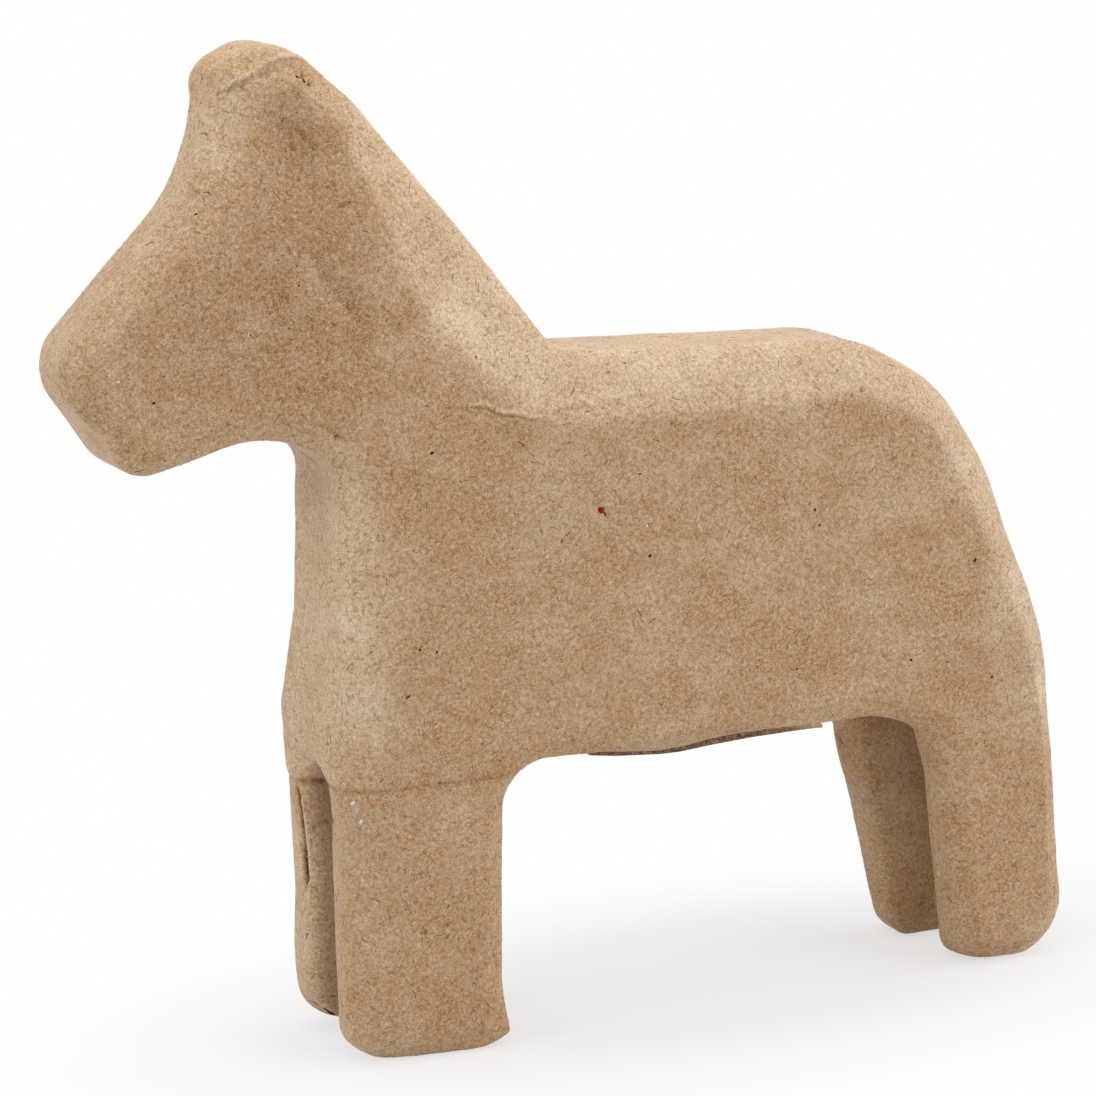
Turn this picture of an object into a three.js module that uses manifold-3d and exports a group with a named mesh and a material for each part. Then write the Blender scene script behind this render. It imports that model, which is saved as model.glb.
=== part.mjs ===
// Papier-mache horse figurine: a hollow grey board body and four hollow board legs,
// covered with strips of brown paper. Millimetres, +Z up, feet on z = 0.
// The horse faces -X and its left side is towards -Y.
import * as THREE from 'three';
import { mergeVertices } from 'three/addons/utils/BufferGeometryUtils.js';
import Module from 'manifold-3d';

const wasm = await Module();
wasm.setup();

// Sheets and the clearance between pieces that meet
const paperThickness = 0.8;
const boardThickness = 2.0;
const soleThickness = 1.2;
const seamGap = 0.3;

// Across the horse
const bodyHalfWidth = 11.8;
const headLean = 0.08; // how far each side of neck and head leans in, per millimetre past the shoulder
const edgeLand = 1.5; // half the width that a rounded edge leaves between its two sides
const legGap = 7.6; // clear space between a left and a right leg
const slotEdge = 2.4; // rounding of a leg's inner edges and of its foot
const slotRound = 3.4; // rounding of the two top corners of the space between the legs
const slotOut = 8; // how far that space is cut beyond the legs' front and rear

// Heights above the ground
const bellyHeight = 38.7;
const withersHeight = 91.8;
const croupHeight = 90.3;
const throatHeight = 79.9;
const pollHeight = 133.6;

// Where the legs end, below the belly
const kneeDrop = 4.2; // to the top of the forelegs' straight front
const slotDrop = 0.3; // to the top of the space between a left and a right leg
const foreSeamDrop = 2.2; // to the upper end of the strips round the legs
const hindSeamDrop = 1.8;

// Along the horse
const foreLegFront = -33.8;
const foreLegWidth = 22.1;
const hindLegFront = 56.6;
const hindLegWidth = 19.1;
const hindLegSlant = 8.6; // how far its front leans back from the belly to the toe
const chestReach = 2; // how far the chest stands out in front of the leg

// Side outline, anticlockwise as seen from the horse's left: x along the horse, z above the
// ground. Each corner has its fillet in side view. The rounded edge there stops the flat side
// short of the outline by its bevel, and reaches edge across the horse.
const foreLegRear = foreLegFront + foreLegWidth;
const outline = [
  { name: 'muzzle', x: -69.6, z: 94, fillet: 6.5, bevel: 3, edge: 3.6 },
  { name: 'chin', x: -59.8, z: throatHeight - 0.6, fillet: 5, bevel: 3.6, edge: 3.1 },
  { name: 'jaw', x: -42.5, z: throatHeight + 4.7, fillet: 13, bevel: 4.1, edge: 3.1 },
  { name: 'throat', x: foreLegFront + 0.8, z: throatHeight, fillet: 5, bevel: 4.4, edge: 4.3 },
  { name: 'neckBase', x: foreLegFront + 0.4, z: throatHeight - 21.9, fillet: 14, bevel: 4.7, edge: 4.1 },
  { name: 'chest', x: foreLegFront - chestReach, z: bellyHeight + 6.2, fillet: 9, bevel: 5, edge: 4 },
  { name: 'knee', x: foreLegFront - 0.4, z: bellyHeight - kneeDrop, fillet: 12, bevel: 4.4, edge: 3.6 },
  { name: 'foreToe', x: foreLegFront, z: 0, fillet: 6, bevel: 4.4, edge: 3 },
  { name: 'foreHeel', x: foreLegRear, z: 0, fillet: 4, bevel: 3.2, edge: 1.8 },
  { name: 'foreArch', x: foreLegRear - 0.6, z: bellyHeight, fillet: 6.5, bevel: 2.8, edge: 1.8 },
  { name: 'hindArch', x: hindLegFront - hindLegSlant, z: bellyHeight, fillet: 7.5, bevel: 3, edge: 2 },
  { name: 'hindToe', x: hindLegFront, z: 0, fillet: 5, bevel: 2.8, edge: 2 },
  { name: 'hindHeel', x: hindLegFront + hindLegWidth, z: 0, fillet: 8, bevel: 3.3, edge: 2.5 },
  { name: 'tail', x: hindLegFront + 15.5, z: bellyHeight + 6.1, fillet: 28, bevel: 3.6, edge: 3.6 },
  { name: 'rump', x: 62.7, z: croupHeight - 19.5, fillet: 28, bevel: 5.4, edge: 4.7 },
  { name: 'haunch', x: 55.1, z: croupHeight - 6.7, fillet: 18, bevel: 5.4, edge: 5.7 },
  { name: 'croup', x: 43.1, z: croupHeight, fillet: 15, bevel: 7.2, edge: 6.3 },
  { name: 'withers', x: -2.2, z: withersHeight, fillet: 8, bevel: 9.2, edge: 5 },
  { name: 'crest', x: -13.7, z: withersHeight + 15.7, fillet: 30, bevel: 11, edge: 6 },
  { name: 'pollBack', x: -29, z: pollHeight - 8.5, fillet: 8, bevel: 4, edge: 3.2 },
  { name: 'pollTop', x: -38.7, z: pollHeight, fillet: 7, bevel: 3.8, edge: 3.3 },
  { name: 'pollFront', x: -46.6, z: pollHeight - 3.4, fillet: 4, bevel: 4.8, edge: 2.5 },
  { name: 'dish', x: -48.2, z: pollHeight - 17, fillet: 26, bevel: 5, edge: 4.9 },
];

// Where the joints between the body's strips run, in side view
const headHub = { x: -38, z: 106 };
const neckHub = { x: -19, z: 84 };
const faceJointDrop = 3.6; // the face and crown strips meet this far below the poll's corner
const crownJointEnd = { x: -12, z: 160 };
const chinJointEnd = { x: -66, z: 60 };

// How finely rounds are drawn
const turnPerStep = THREE.MathUtils.degToRad(20);
const edgeSteps = 3;
const slotSteps = 3;
const leastRound = 0.4;

// Loose paper: the torn left edge of the belly strip
const looseSheet = 0.5;
const looseStart = 1; // where along the belly the strip's edge comes away
const looseEnd = 37;
const looseDrop = 0.7;
const tornTip = 2.2;

// The left forefoot: a fold of paper stands out at its heel, over a heel that is cut away
const pinchTop = 12;
const pinchReach = 1.6;
const pinchLow = 2.2;
const pinchWidth = 4.5;
const pinchInset = 1.5; // from the flat side
const heelCut = 3.1;

// The open joint where the two ends of a leg strip meet
const wrapSlit = 0.5;
const slitFromSide = 4; // place of the right foreleg's joint, measured from its outer side

const paperBrown = 0xad8f6f;
const boardGrey = 0x8f8372;
const paperRoughness = 0.92;
const boardRoughness = 0.95;

const far = 200; // beyond the horse in any direction

const point = (x, z) => new THREE.Vector2(x, z);
const placeOf = (name) => outline.findIndex((corner) => corner.name === name);
const cornerOf = (name) => outline[placeOf(name)];

// Solids

function solidOf(geometry) {
  geometry.deleteAttribute('normal');
  geometry.deleteAttribute('uv');
  const merged = mergeVertices(geometry, 1e-4);
  return new wasm.Manifold(new wasm.Mesh({
    numProp: 3,
    vertProperties: new Float32Array(merged.attributes.position.array),
    triVerts: new Uint32Array(merged.index.array),
  }));
}

function geometryOf(solid) {
  const { vertProperties, triVerts } = solid.getMesh();
  const geometry = new THREE.BufferGeometry();
  geometry.setAttribute('position', new THREE.BufferAttribute(new Float32Array(vertProperties), 3));
  geometry.setIndex(new THREE.BufferAttribute(new Uint32Array(triVerts), 1));
  const flat = geometry.toNonIndexed();
  flat.computeVertexNormals();
  return flat;
}

// Skin between rings of equally many points. flatten turns a point into the plane in which
// the first ring runs anticlockwise when seen from outside. folds are pairs of ring places
// along which the end faces may bend.
function loft(rings, flatten, folds = []) {
  const count = rings[0].length;
  const positions = rings.flat().flatMap((point) => point.toArray());
  const faces = [];
  for (let ring = 0; ring + 1 < rings.length; ring += 1) {
    const near = ring * count;
    const far = near + count;
    for (let i = 0; i < count; i += 1) {
      const next = (i + 1) % count;
      faces.push(near + i, far + i, near + next);
      faces.push(near + next, far + i, far + next);
    }
  }
  const areas = folds.length ? folds : [[0, count]];
  for (const [from, to] of areas) {
    const span = to > from ? to - from : to + count - from;
    const places = Array.from({ length: span }, (unused, step) => (from + step) % count);
    const contour = places.map((place) => flatten(rings[0][place]));
    for (const [a, b, c] of THREE.ShapeUtils.triangulateShape(contour, [])) {
      faces.push(places[a], places[b], places[c]);
    }
    const last = (rings.length - 1) * count;
    const farContour = places.map((place) => flatten(rings[rings.length - 1][place]));
    for (const [a, b, c] of THREE.ShapeUtils.triangulateShape(farContour, [])) {
      faces.push(last + places[a], last + places[c], last + places[b]);
    }
  }
  const geometry = new THREE.BufferGeometry();
  geometry.setAttribute('position', new THREE.Float32BufferAttribute(positions, 3));
  geometry.setIndex(faces);
  return solidOf(geometry);
}

// A block between two opposite corners
function slab(lowCorner, highCorner) {
  const low = new THREE.Vector3(...lowCorner);
  const high = new THREE.Vector3(...highCorner);
  const size = new THREE.Vector3().subVectors(high, low);
  const centre = new THREE.Vector3().addVectors(low, high).multiplyScalar(0.5);
  const box = new THREE.BoxGeometry(size.x, size.y, size.z);
  return solidOf(box.translate(centre.x, centre.y, centre.z));
}

// Side-view shapes

// Corners of a polygon with every side moved inwards: each corner by its own distance
function movedIn(points, distances) {
  return points.map((point, i) => {
    const before = points[(i + points.length - 1) % points.length];
    const after = points[(i + 1) % points.length];
    const arriving = new THREE.Vector2().subVectors(point, before).normalize();
    const leaving = new THREE.Vector2().subVectors(after, point).normalize();
    const inward = new THREE.Vector2(-arriving.y - leaving.y, arriving.x + leaving.x);
    const reach = distances[i] / (1 + arriving.dot(leaving));
    return point.clone().addScaledVector(inward, reach);
  });
}

function turnAt(points, i) {
  const before = points[(i + points.length - 1) % points.length];
  const after = points[(i + 1) % points.length];
  const arriving = new THREE.Vector2().subVectors(points[i], before);
  const leaving = new THREE.Vector2().subVectors(after, points[i]);
  return Math.atan2(arriving.cross(leaving), arriving.dot(leaving));
}

const sidePoints = outline.map((corner) => point(corner.x, corner.z));
const sideTurns = sidePoints.map((point, i) => turnAt(sidePoints, i));
const arcSteps = sideTurns.map((turn) => Math.max(2, Math.ceil(Math.abs(turn) / turnPerStep)));
const arcStarts = arcSteps.map((steps, i) => arcSteps.slice(0, i).reduce((sum, n) => sum + n + 1, 0));
const arcMiddle = (name) => arcStarts[placeOf(name)] + Math.floor(arcSteps[placeOf(name)] / 2);

// The outline with every corner moved in by its own distance and filleted. Each returned
// point keeps the number of its corner.
function filletedOutline(distances) {
  const points = movedIn(sidePoints, distances);
  const tangents = points.map((point, i) => {
    const turn = turnAt(points, i);
    const grown = sideTurns[i] > 0 ? -distances[i] : distances[i];
    const radius = Math.max(outline[i].fillet + grown, leastRound);
    return radius * Math.tan(Math.abs(turn) / 2);
  });
  return points.flatMap((point, i) => {
    const before = (i + points.length - 1) % points.length;
    const after = (i + 1) % points.length;
    const arriving = new THREE.Vector2().subVectors(point, points[before]);
    const leaving = new THREE.Vector2().subVectors(points[after], point);
    const shareBefore = arriving.length() * tangents[i] / (tangents[i] + tangents[before]);
    const shareAfter = leaving.length() * tangents[i] / (tangents[i] + tangents[after]);
    const tangent = Math.min(tangents[i], shareBefore * 0.96, shareAfter * 0.96);
    const turn = turnAt(points, i);
    const radius = tangent / Math.tan(Math.abs(turn) / 2);
    const start = point.clone().addScaledVector(arriving.normalize(), -tangent);
    const side = Math.sign(turn);
    const toCentre = new THREE.Vector2(-arriving.y, arriving.x).multiplyScalar(side * radius);
    const centre = start.clone().add(toCentre);
    return Array.from({ length: arcSteps[i] + 1 }, (unused, step) => ({
      corner: i,
      place: start.clone().rotateAround(centre, turn * step / arcSteps[i]),
    }));
  });
}

// Both sides of neck and head lean in from a fold that runs from the neck's base to the withers
const flatOutline = filletedOutline(outline.map((corner) => corner.bevel));
const foldLow = flatOutline[arcMiddle('neckBase')].place;
const foldHigh = flatOutline[arcMiddle('withers')].place;
const foldAlong = new THREE.Vector2().subVectors(foldHigh, foldLow).normalize();

function sideLean(place) {
  const past = foldAlong.cross(new THREE.Vector2().subVectors(place, foldLow));
  return headLean * Math.max(past, 0);
}

// The horse without the spaces between its legs, its whole surface moved in by inset
function plate(inset) {
  const depths = outline.map((corner) => Math.max(corner.bevel - inset, leastRound));
  const ring = (angle) => {
    const distances = depths.map((depth) => inset + depth * (1 - Math.cos(angle)));
    return filletedOutline(distances).map(({ corner, place }) => {
      const room = bodyHalfWidth - inset - sideLean(place);
      const width = outline[corner].edge * depths[corner] / outline[corner].bevel;
      const across = Math.min(width, room - Math.min(edgeLand, room / 2));
      const y = room - across * (1 - Math.sin(angle));
      return new THREE.Vector3(place.x, -y, place.y);
    });
  };
  const left = [];
  for (let step = edgeSteps; step >= 0; step -= 1) {
    left.push(ring((Math.PI / 2) * step / edgeSteps));
  }
  const mirror = (point) => new THREE.Vector3(point.x, -point.y, point.z);
  const right = [...left].reverse().map((points) => points.map(mirror));
  const foldA = arcMiddle('neckBase');
  const foldB = arcMiddle('withers');
  const trunk = [foldA, foldB + 1];
  const head = [foldB, foldA + 1];
  return loft([...left, ...right], (point) => new THREE.Vector2(point.x, point.z), [trunk, head]);
}

// The space between a left and a right leg: round-topped, flared at both ends and at the foot
function legSlot(front, rear, archEnd, inset) {
  const half = legGap / 2 + inset;
  const top = bellyHeight - slotDrop + inset;
  const round = Math.max(slotEdge - inset, leastRound);
  const section = (flare, topFlare, along) => {
    const topRound = slotRound + inset + topFlare;
    const points = [[half + round + flare, inset - slotOut]];
    for (let step = 0; step <= slotSteps; step += 1) {
      const angle = (Math.PI / 2) * step / slotSteps;
      points.push([half + flare + round * (1 - Math.sin(angle)), inset + round * (1 - Math.cos(angle))]);
    }
    for (let step = 0; step <= slotSteps; step += 1) {
      const angle = (Math.PI / 2) * step / slotSteps;
      const level = top + topFlare - topRound * (1 - Math.sin(angle));
      points.push([half + flare - topRound * (1 - Math.cos(angle)), level]);
    }
    const rightSide = [...points].reverse();
    const leftSide = points.map(([y, z]) => [-y, z]);
    return [...leftSide, ...rightSide].map(([y, z]) => new THREE.Vector3(along(z), y, z));
  };
  const lineX = ([low, high], z) => low.x + (high.x - low.x) * (z - low.z) / (high.z - low.z);
  const end = (line, into, topFlares) => {
    const outside = -into * (inset + slotOut);
    const rings = [section(round, topFlares * round, (z) => lineX(line, z) + outside)];
    for (let step = 0; step <= slotSteps; step += 1) {
      const angle = (Math.PI / 2) * step / slotSteps;
      const flare = round * (1 - Math.sin(angle));
      const depth = inset + round * (1 - Math.cos(angle));
      rings.push(section(flare, topFlares * flare, (z) => lineX(line, z) + into * depth));
    }
    return rings;
  };
  const rings = [
    ...end(front, 1, archEnd === 'front' ? 0 : 1),
    ...end(rear, -1, archEnd === 'rear' ? 0 : 1).reverse(),
  ];
  return loft(rings, (point) => new THREE.Vector2(-point.y, point.z));
}

const legLine = (low, high) => [cornerOf(low), cornerOf(high)];

function horse(inset) {
  const foreSlot = legSlot(legLine('foreToe', 'knee'), legLine('foreHeel', 'foreArch'), 'rear', inset);
  const hindSlot = legSlot(legLine('hindToe', 'hindArch'), legLine('hindHeel', 'tail'), 'front', inset);
  return plate(inset).subtract(foreSlot).subtract(hindSlot);
}

// A side-view polygon carried right across the horse, or between two places across it
function prism(points, yLow = -2 * bodyHalfWidth, yHigh = 2 * bodyHalfWidth) {
  const shape = new THREE.Shape(points);
  const geometry = new THREE.ExtrudeGeometry(shape, { depth: yHigh - yLow, bevelEnabled: false });
  geometry.rotateX(Math.PI / 2);
  return solidOf(geometry.translate(0, yHigh, 0));
}

const outer = horse(0);
const innerSkin = horse(paperThickness);
const paper = outer.subtract(innerSkin);
const boardInset = paperThickness + seamGap;
const board = horse(boardInset).subtract(horse(boardInset + boardThickness));

// Legs: each has its own space below its seam, to the left or right of the middle

const legMiddle = (cornerA, cornerB) => (cornerOf(cornerA).x + cornerOf(cornerB).x) / 2;
const foreMiddle = legMiddle('foreToe', 'foreHeel');
const hindMiddle = legMiddle('hindArch', 'tail');
const between = (foreMiddle + hindMiddle) / 2;
const foreSeam = bellyHeight - foreSeamDrop;
const hindSeam = bellyHeight - hindSeamDrop;
const fore = { low: -far, high: between, seam: foreSeam, middle: foreMiddle };
const hind = { low: between, high: far, seam: hindSeam, middle: hindMiddle };
const legs = [
  { name: 'front_left', side: -1, ...fore },
  { name: 'front_right', side: 1, ...fore },
  { name: 'hind_left', side: -1, ...hind },
  { name: 'hind_right', side: 1, ...hind },
];

function legSpace(leg, zLow, zHigh) {
  const [yLow, yHigh] = leg.side < 0 ? [-far, 0] : [0, far];
  return slab([leg.low, yLow, zLow], [leg.high, yHigh, zHigh]);
}

// The two ends of a leg's strip meet on its inner side. The right foreleg's joint is at its front.
function slit(leg) {
  const half = wrapSlit / 2;
  if (leg.name === 'front_right') {
    const y = bodyHalfWidth - slitFromSide;
    return slab([-far, y - half, -far], [leg.middle, y + half, far]);
  }
  const beyond = leg.side * (legGap / 2 + 2 * paperThickness);
  const [yLow, yHigh] = [Math.min(0, beyond), Math.max(0, beyond)];
  return slab([leg.middle - half, yLow, -far], [leg.middle + half, yHigh, far]);
}

const heelX = cornerOf('foreHeel').x;
const pinchFoot = point(heelX - heelCut, 0);
const pinchTip = point(heelX + pinchReach, pinchLow);

// Paper folded outwards at the left forefoot's heel
function heelPinch() {
  const inside = point(heelX - heelCut, pinchTop);
  const root = point(heelX - looseSheet, pinchTop);
  const low = -bodyHalfWidth + pinchInset;
  const fold = prism([pinchFoot, pinchTip, root, inside], low, low + pinchWidth);
  return fold.subtract(innerSkin);
}

function underHeel() {
  const beyond = point(far, 0).add(pinchTip);
  return prism([pinchFoot, point(heelX - heelCut, -far), point(beyond.x, -far), beyond, pinchTip]);
}

const horseGroup = new THREE.Group();
const box = outer.boundingBox();
const toMiddle = -(box.min[0] + box.max[0]) / 2;

function addPiece(name, solid, color, roughness) {
  const material = new THREE.MeshStandardMaterial({ color, roughness, metalness: 0 });
  const mesh = new THREE.Mesh(geometryOf(solid.translate([toMiddle, 0, 0])), material);
  mesh.name = name;
  horseGroup.add(mesh);
}
const addPaper = (name, solid) => addPiece(name, solid, paperBrown, paperRoughness);
const addBoard = (name, solid) => addPiece(name, solid, boardGrey, boardRoughness);

const halfGap = seamGap / 2;
let bodyPaper = paper;
let bodyBoard = board;
for (const leg of legs) {
  const below = legSpace(leg, -far, leg.seam + halfGap);
  bodyPaper = bodyPaper.subtract(below);
  bodyBoard = bodyBoard.subtract(below);
  const tubeSpace = legSpace(leg, soleThickness + seamGap, leg.seam - halfGap);
  let sole = outer.intersect(legSpace(leg, -far, soleThickness));
  let wrap = paper;
  if (leg.name === 'front_left') {
    sole = sole.subtract(underHeel());
    wrap = wrap.add(heelPinch());
  }
  addPaper(`sole_${leg.name}`, sole);
  addPaper(`leg_wrap_${leg.name}`, wrap.intersect(tubeSpace).subtract(slit(leg)));
  addBoard(`leg_tube_${leg.name}`, board.intersect(tubeSpace));
}

addBoard('shell_left', bodyBoard.intersect(slab([-far, -far, -far], [far, -halfGap, far])));
addBoard('shell_right', bodyBoard.intersect(slab([-far, halfGap, -far], [far, far, far])));

// Body papers: a sheet on each flat side, and strips along the rounded edge between them

const sheetReach = legGap / 2 + slotEdge;
const flatPoints = flatOutline.map(({ place }) => place);
const sheetOutline = (distance) => movedIn(flatPoints, flatPoints.map(() => distance));
const leftSheet = (distance) => prism(sheetOutline(distance), -far, -sheetReach);
const rightSheet = (distance) => prism(sheetOutline(distance), sheetReach, far);
addPaper('side_paper_left', bodyPaper.intersect(leftSheet(halfGap)));
addPaper('side_paper_right', bodyPaper.intersect(rightSheet(halfGap)));
const strips = bodyPaper.subtract(leftSheet(-halfGap)).subtract(rightSheet(-halfGap));

const head = point(headHub.x, headHub.z);
const neck = point(neckHub.x, neckHub.z);
const hubHeight = THREE.MathUtils.lerp(bellyHeight, withersHeight, 0.3);
const foreHub = point(foreMiddle, hubHeight);
const hindHub = point(hindMiddle, hubHeight);
const underFore = point(foreMiddle, -far);
const underHind = point(hindMiddle, -far);
const crownBack = point(crownJointEnd.x, crownJointEnd.z);
const faceJoint = pollHeight - faceJointDrop;
const crownFront = point(-far, faceJoint);
const chinOut = point(chinJointEnd.x, chinJointEnd.z);
const ahead = point(-far, chinJointEnd.z);
const zones = {
  face_paper: [head, point(headHub.x, faceJoint), crownFront, ahead, chinOut],
  crown_paper: [head, crownBack, point(-far, far), crownFront, point(headHub.x, faceJoint)],
  chest_paper: [head, chinOut, ahead, point(-far, -far), underFore, foreHub, neck],
  belly_paper: [foreHub, underFore, underHind, hindHub],
  back_paper: [head, neck, foreHub, hindHub, underHind, point(far, -far), point(far, far), crownBack],
};

// The belly strip's left edge hangs a little below the belly and ends in a torn tip
function looseEdge() {
  const half = bellyHeight - looseDrop / 2;
  const low = bellyHeight - looseDrop;
  const top = bellyHeight + paperThickness / 2;
  const yLow = -bodyHalfWidth + cornerOf('foreArch').bevel;
  const edge = [
    point(looseStart, top),
    point(looseStart + tornTip, half),
    point((looseStart + looseEnd) / 2, low),
    point(looseEnd - tornTip, half),
    point(looseEnd + tornTip, low - looseDrop),
    point(looseEnd, top),
  ];
  return prism(edge, yLow, yLow + looseSheet);
}

for (const [name, points] of Object.entries(zones)) {
  const shrunk = movedIn(points, points.map(() => halfGap));
  const strip = strips.intersect(prism(shrunk));
  addPaper(name, name === 'belly_paper' ? strip.add(looseEdge()) : strip);
}

export default horseGroup;
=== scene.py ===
import math

import bmesh
import bpy
import numpy as np
from mathutils import Matrix, Vector
from mathutils.bvhtree import BVHTree


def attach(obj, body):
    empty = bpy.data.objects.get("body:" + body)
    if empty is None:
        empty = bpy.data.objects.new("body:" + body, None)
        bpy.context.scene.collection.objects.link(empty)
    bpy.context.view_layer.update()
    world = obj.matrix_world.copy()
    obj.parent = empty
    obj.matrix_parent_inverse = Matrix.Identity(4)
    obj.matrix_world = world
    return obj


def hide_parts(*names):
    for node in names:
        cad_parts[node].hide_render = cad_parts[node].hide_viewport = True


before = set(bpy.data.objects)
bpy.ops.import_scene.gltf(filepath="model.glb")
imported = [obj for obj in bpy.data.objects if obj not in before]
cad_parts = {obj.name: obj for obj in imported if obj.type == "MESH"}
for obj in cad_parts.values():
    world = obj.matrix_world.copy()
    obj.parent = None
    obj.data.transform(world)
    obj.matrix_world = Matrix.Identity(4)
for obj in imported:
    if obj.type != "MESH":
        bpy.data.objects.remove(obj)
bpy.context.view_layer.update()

mm = 0.001
stanceShift = -3.606  # shapes are in millimetres from the middle of the stance; this moves them to the frame


def unit(v):
    return v / np.maximum(np.linalg.norm(v, axis=-1, keepdims=True), 1e-9)


def toFrame(points):
    return (points + [stanceShift, 0, 0]) * mm


def bell(gap, width):
    return np.exp(-(gap / width) ** 2)


# The camera, fitted to the photograph's outline of the horse
camera = {
    "turn": 24.67,  # degrees, towards the horse's left front
    "lift": 12.14,
    "roll": 0.51,
    "distance": 469.0,
    "right": -0.287,
    "up": 62.95,
    "lensPixels": 3424.4,
    "imagePixels": 1096,
    "sensor": 36.0,
}


def cameraAxes(c):
    turn, lift, roll = (math.radians(c[k]) for k in ("turn", "lift", "roll"))
    right = np.array([math.cos(turn), -math.sin(turn), 0])
    ahead = np.array([math.sin(turn) * math.cos(lift), math.cos(turn) * math.cos(lift), -math.sin(lift)])
    up = np.cross(right, ahead)
    place = c["right"] * right + c["up"] * up - c["distance"] * ahead
    return (place, math.cos(roll) * right - math.sin(roll) * up,
            math.sin(roll) * right + math.cos(roll) * up, ahead)


eye, eyeRight, eyeUp, eyeAhead = cameraAxes(camera)
half = camera["imagePixels"] / 2


def raysThrough(pixels):
    pixels = np.asarray(pixels, float)
    right = (pixels[:, :1] - half) / camera["lensPixels"]
    down = (pixels[:, 1:] - half) / camera["lensPixels"]
    return unit(eyeAhead + eyeRight * right - eyeUp * down)


def pixelsOf(points):
    arm = points - eye
    deep = arm @ eyeAhead
    return np.stack([half + camera["lensPixels"] * (arm @ eyeRight) / deep,
                     half - camera["lensPixels"] * (arm @ eyeUp) / deep], 1)


def makeCamera(c):
    data = bpy.data.cameras.new("camera")
    data.sensor_width = c["sensor"]
    data.lens = c["lensPixels"] / c["imagePixels"] * c["sensor"]
    data.clip_start = 0.01
    data.clip_end = 20
    made = bpy.data.objects.new("camera", data)
    axes = Matrix((Vector(eyeRight), Vector(eyeUp), Vector(-eyeAhead))).transposed().to_4x4()
    made.matrix_world = Matrix.Translation(Vector(eye + [stanceShift, 0, 0]) * mm) @ axes
    bpy.context.scene.collection.objects.link(made)
    bpy.context.scene.camera = made


makeCamera(camera)
print("camera ready")

# The moulded form: corners of the side outline as x, z, fillet, edge depth, edge width
form = {
    "halfWidth": 11.8,
    "arcStep": 6,  # degrees
    "leastFillet": 0.4,
    "mostTangent": 0.96,  # how much of a side its two fillets may take
    "headLean": 0.088,
    "edgeLand": 1.5,
    "edgeTop": 0.45,  # how far the edge's curve keeps level from the top
    "edgeSide": 0.5,
    "arris": 36,  # degrees between the edge and the flat side
    "legGap": 7.6,
    "slotEdge": 2.4,
    "slotRound": 3.4,
    "slotOut": 8,
    "slotTop": 38.4,
    "voxel": 0.42,
    "rounding": 36,  # passes that round every edge a little
    "legBack": {  # the left hind leg's front stands back: height and how far, in millimetres
        "heights": (0, 3, 15, 27, 34, 40, 46),
        "shifts": (2.2, 2.3, 3.6, 4.8, 4.3, 1.6, 0),
        "start": (40, 50),
        "end": (59, 74),
        "side": (0.5, 3),
        "lift": (57, 37.5, 8, 2.9),  # x, z, reach and rise of the arch there
    },
    "wornSide": (-9.6, 3.2),  # the y of the edge that is worn, and how far the wear reaches
    "softer": [  # places where that edge is worn rounder: x, z, reach, passes
        (-62, 88, 10, 30), (-52, 102, 9, 24), (-33, 66, 14, 44), (-33, 45, 14, 50),
        (-31, 20, 16, 24), (-5, 88, 12, 24), (52, 82, 12, 16), (66, 60, 14, 16), (-22, 108, 12, 16),
    ],
    "corners": {
        "muzzle": (-69.4, 93.9, 6.5, 2.0, 2.9),
        "chin": (-59.8, 79.3, 5, 2.6, 3.0),
        "jaw": (-42.1, 84.6, 13, 4.1, 2.6),
        "throat": (-32.8, 79.9, 5, 4.3, 3.1),
        "neckBase": (-33.5, 58.3, 14, 4.3, 3.7),
        "chest": (-35.6, 45.3, 9, 5.6, 3.7),
        "knee": (-34.2, 34.1, 12, 4.6, 3.0),
        "foreToe": (-33.7, 0, 6, 4.5, 3.4),
        "foreHeel": (-12.2, 0, 4, 3.2, 1.9),
        "foreArch": (-11.5, 38.4, 6.5, 2.6, 2.5),
        "hindArch": (47.7, 38.2, 7.5, 3, 2.3),
        "hindToe": (56.2, 0, 5, 2.9, 3.2),
        "hindHeel": (75.8, 0, 8, 3.2, 2.4),
        "tail": (72.0, 45.1, 28, 3.6, 3.1),
        "rump": (63.1, 70.7, 28, 6.0, 4.6),
        "haunch": (55.2, 83.3, 18, 5.1, 5.1),
        "croup": (42.9, 90.3, 15, 6.8, 5.9),
        "withers": (-2.0, 91.7, 8, 8.9, 5.3),
        "crest": (-12.7, 106.7, 30, 12.0, 7.0),
        "pollBack": (-29.2, 125.5, 8, 4.0, 3.0),
        "pollTop": (-38.8, 133.6, 7, 3.8, 2.8),
        "pollFront": (-46.6, 130.5, 4, 5.8, 3.7),
        "dish": (-48.8, 116.5, 26, 5.0, 3.8),
    },
}
cornerNames = list(form["corners"])
cornerTable = np.array([form["corners"][n] for n in cornerNames], float)
cornerPoints, fillets, edgeDepths, edgeWidths = (
    cornerTable[:, :2], cornerTable[:, 2], cornerTable[:, 3], cornerTable[:, 4])


def turnsOf(points):
    arriving = points - np.roll(points, 1, 0)
    leaving = np.roll(points, -1, 0) - points
    cross = arriving[:, 0] * leaving[:, 1] - arriving[:, 1] * leaving[:, 0]
    return np.arctan2(cross, (arriving * leaving).sum(1))


baseTurns = turnsOf(cornerPoints)
arcSteps = np.maximum(3, np.ceil(np.abs(baseTurns) / math.radians(form["arcStep"]))).astype(int)


def movedIn(points, distances):
    arriving = unit(points - np.roll(points, 1, 0))
    leaving = unit(np.roll(points, -1, 0) - points)
    inward = np.stack([-arriving[:, 1] - leaving[:, 1], arriving[:, 0] + leaving[:, 0]], 1)
    return points + inward * (distances / (1 + (arriving * leaving).sum(1)))[:, None]


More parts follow.
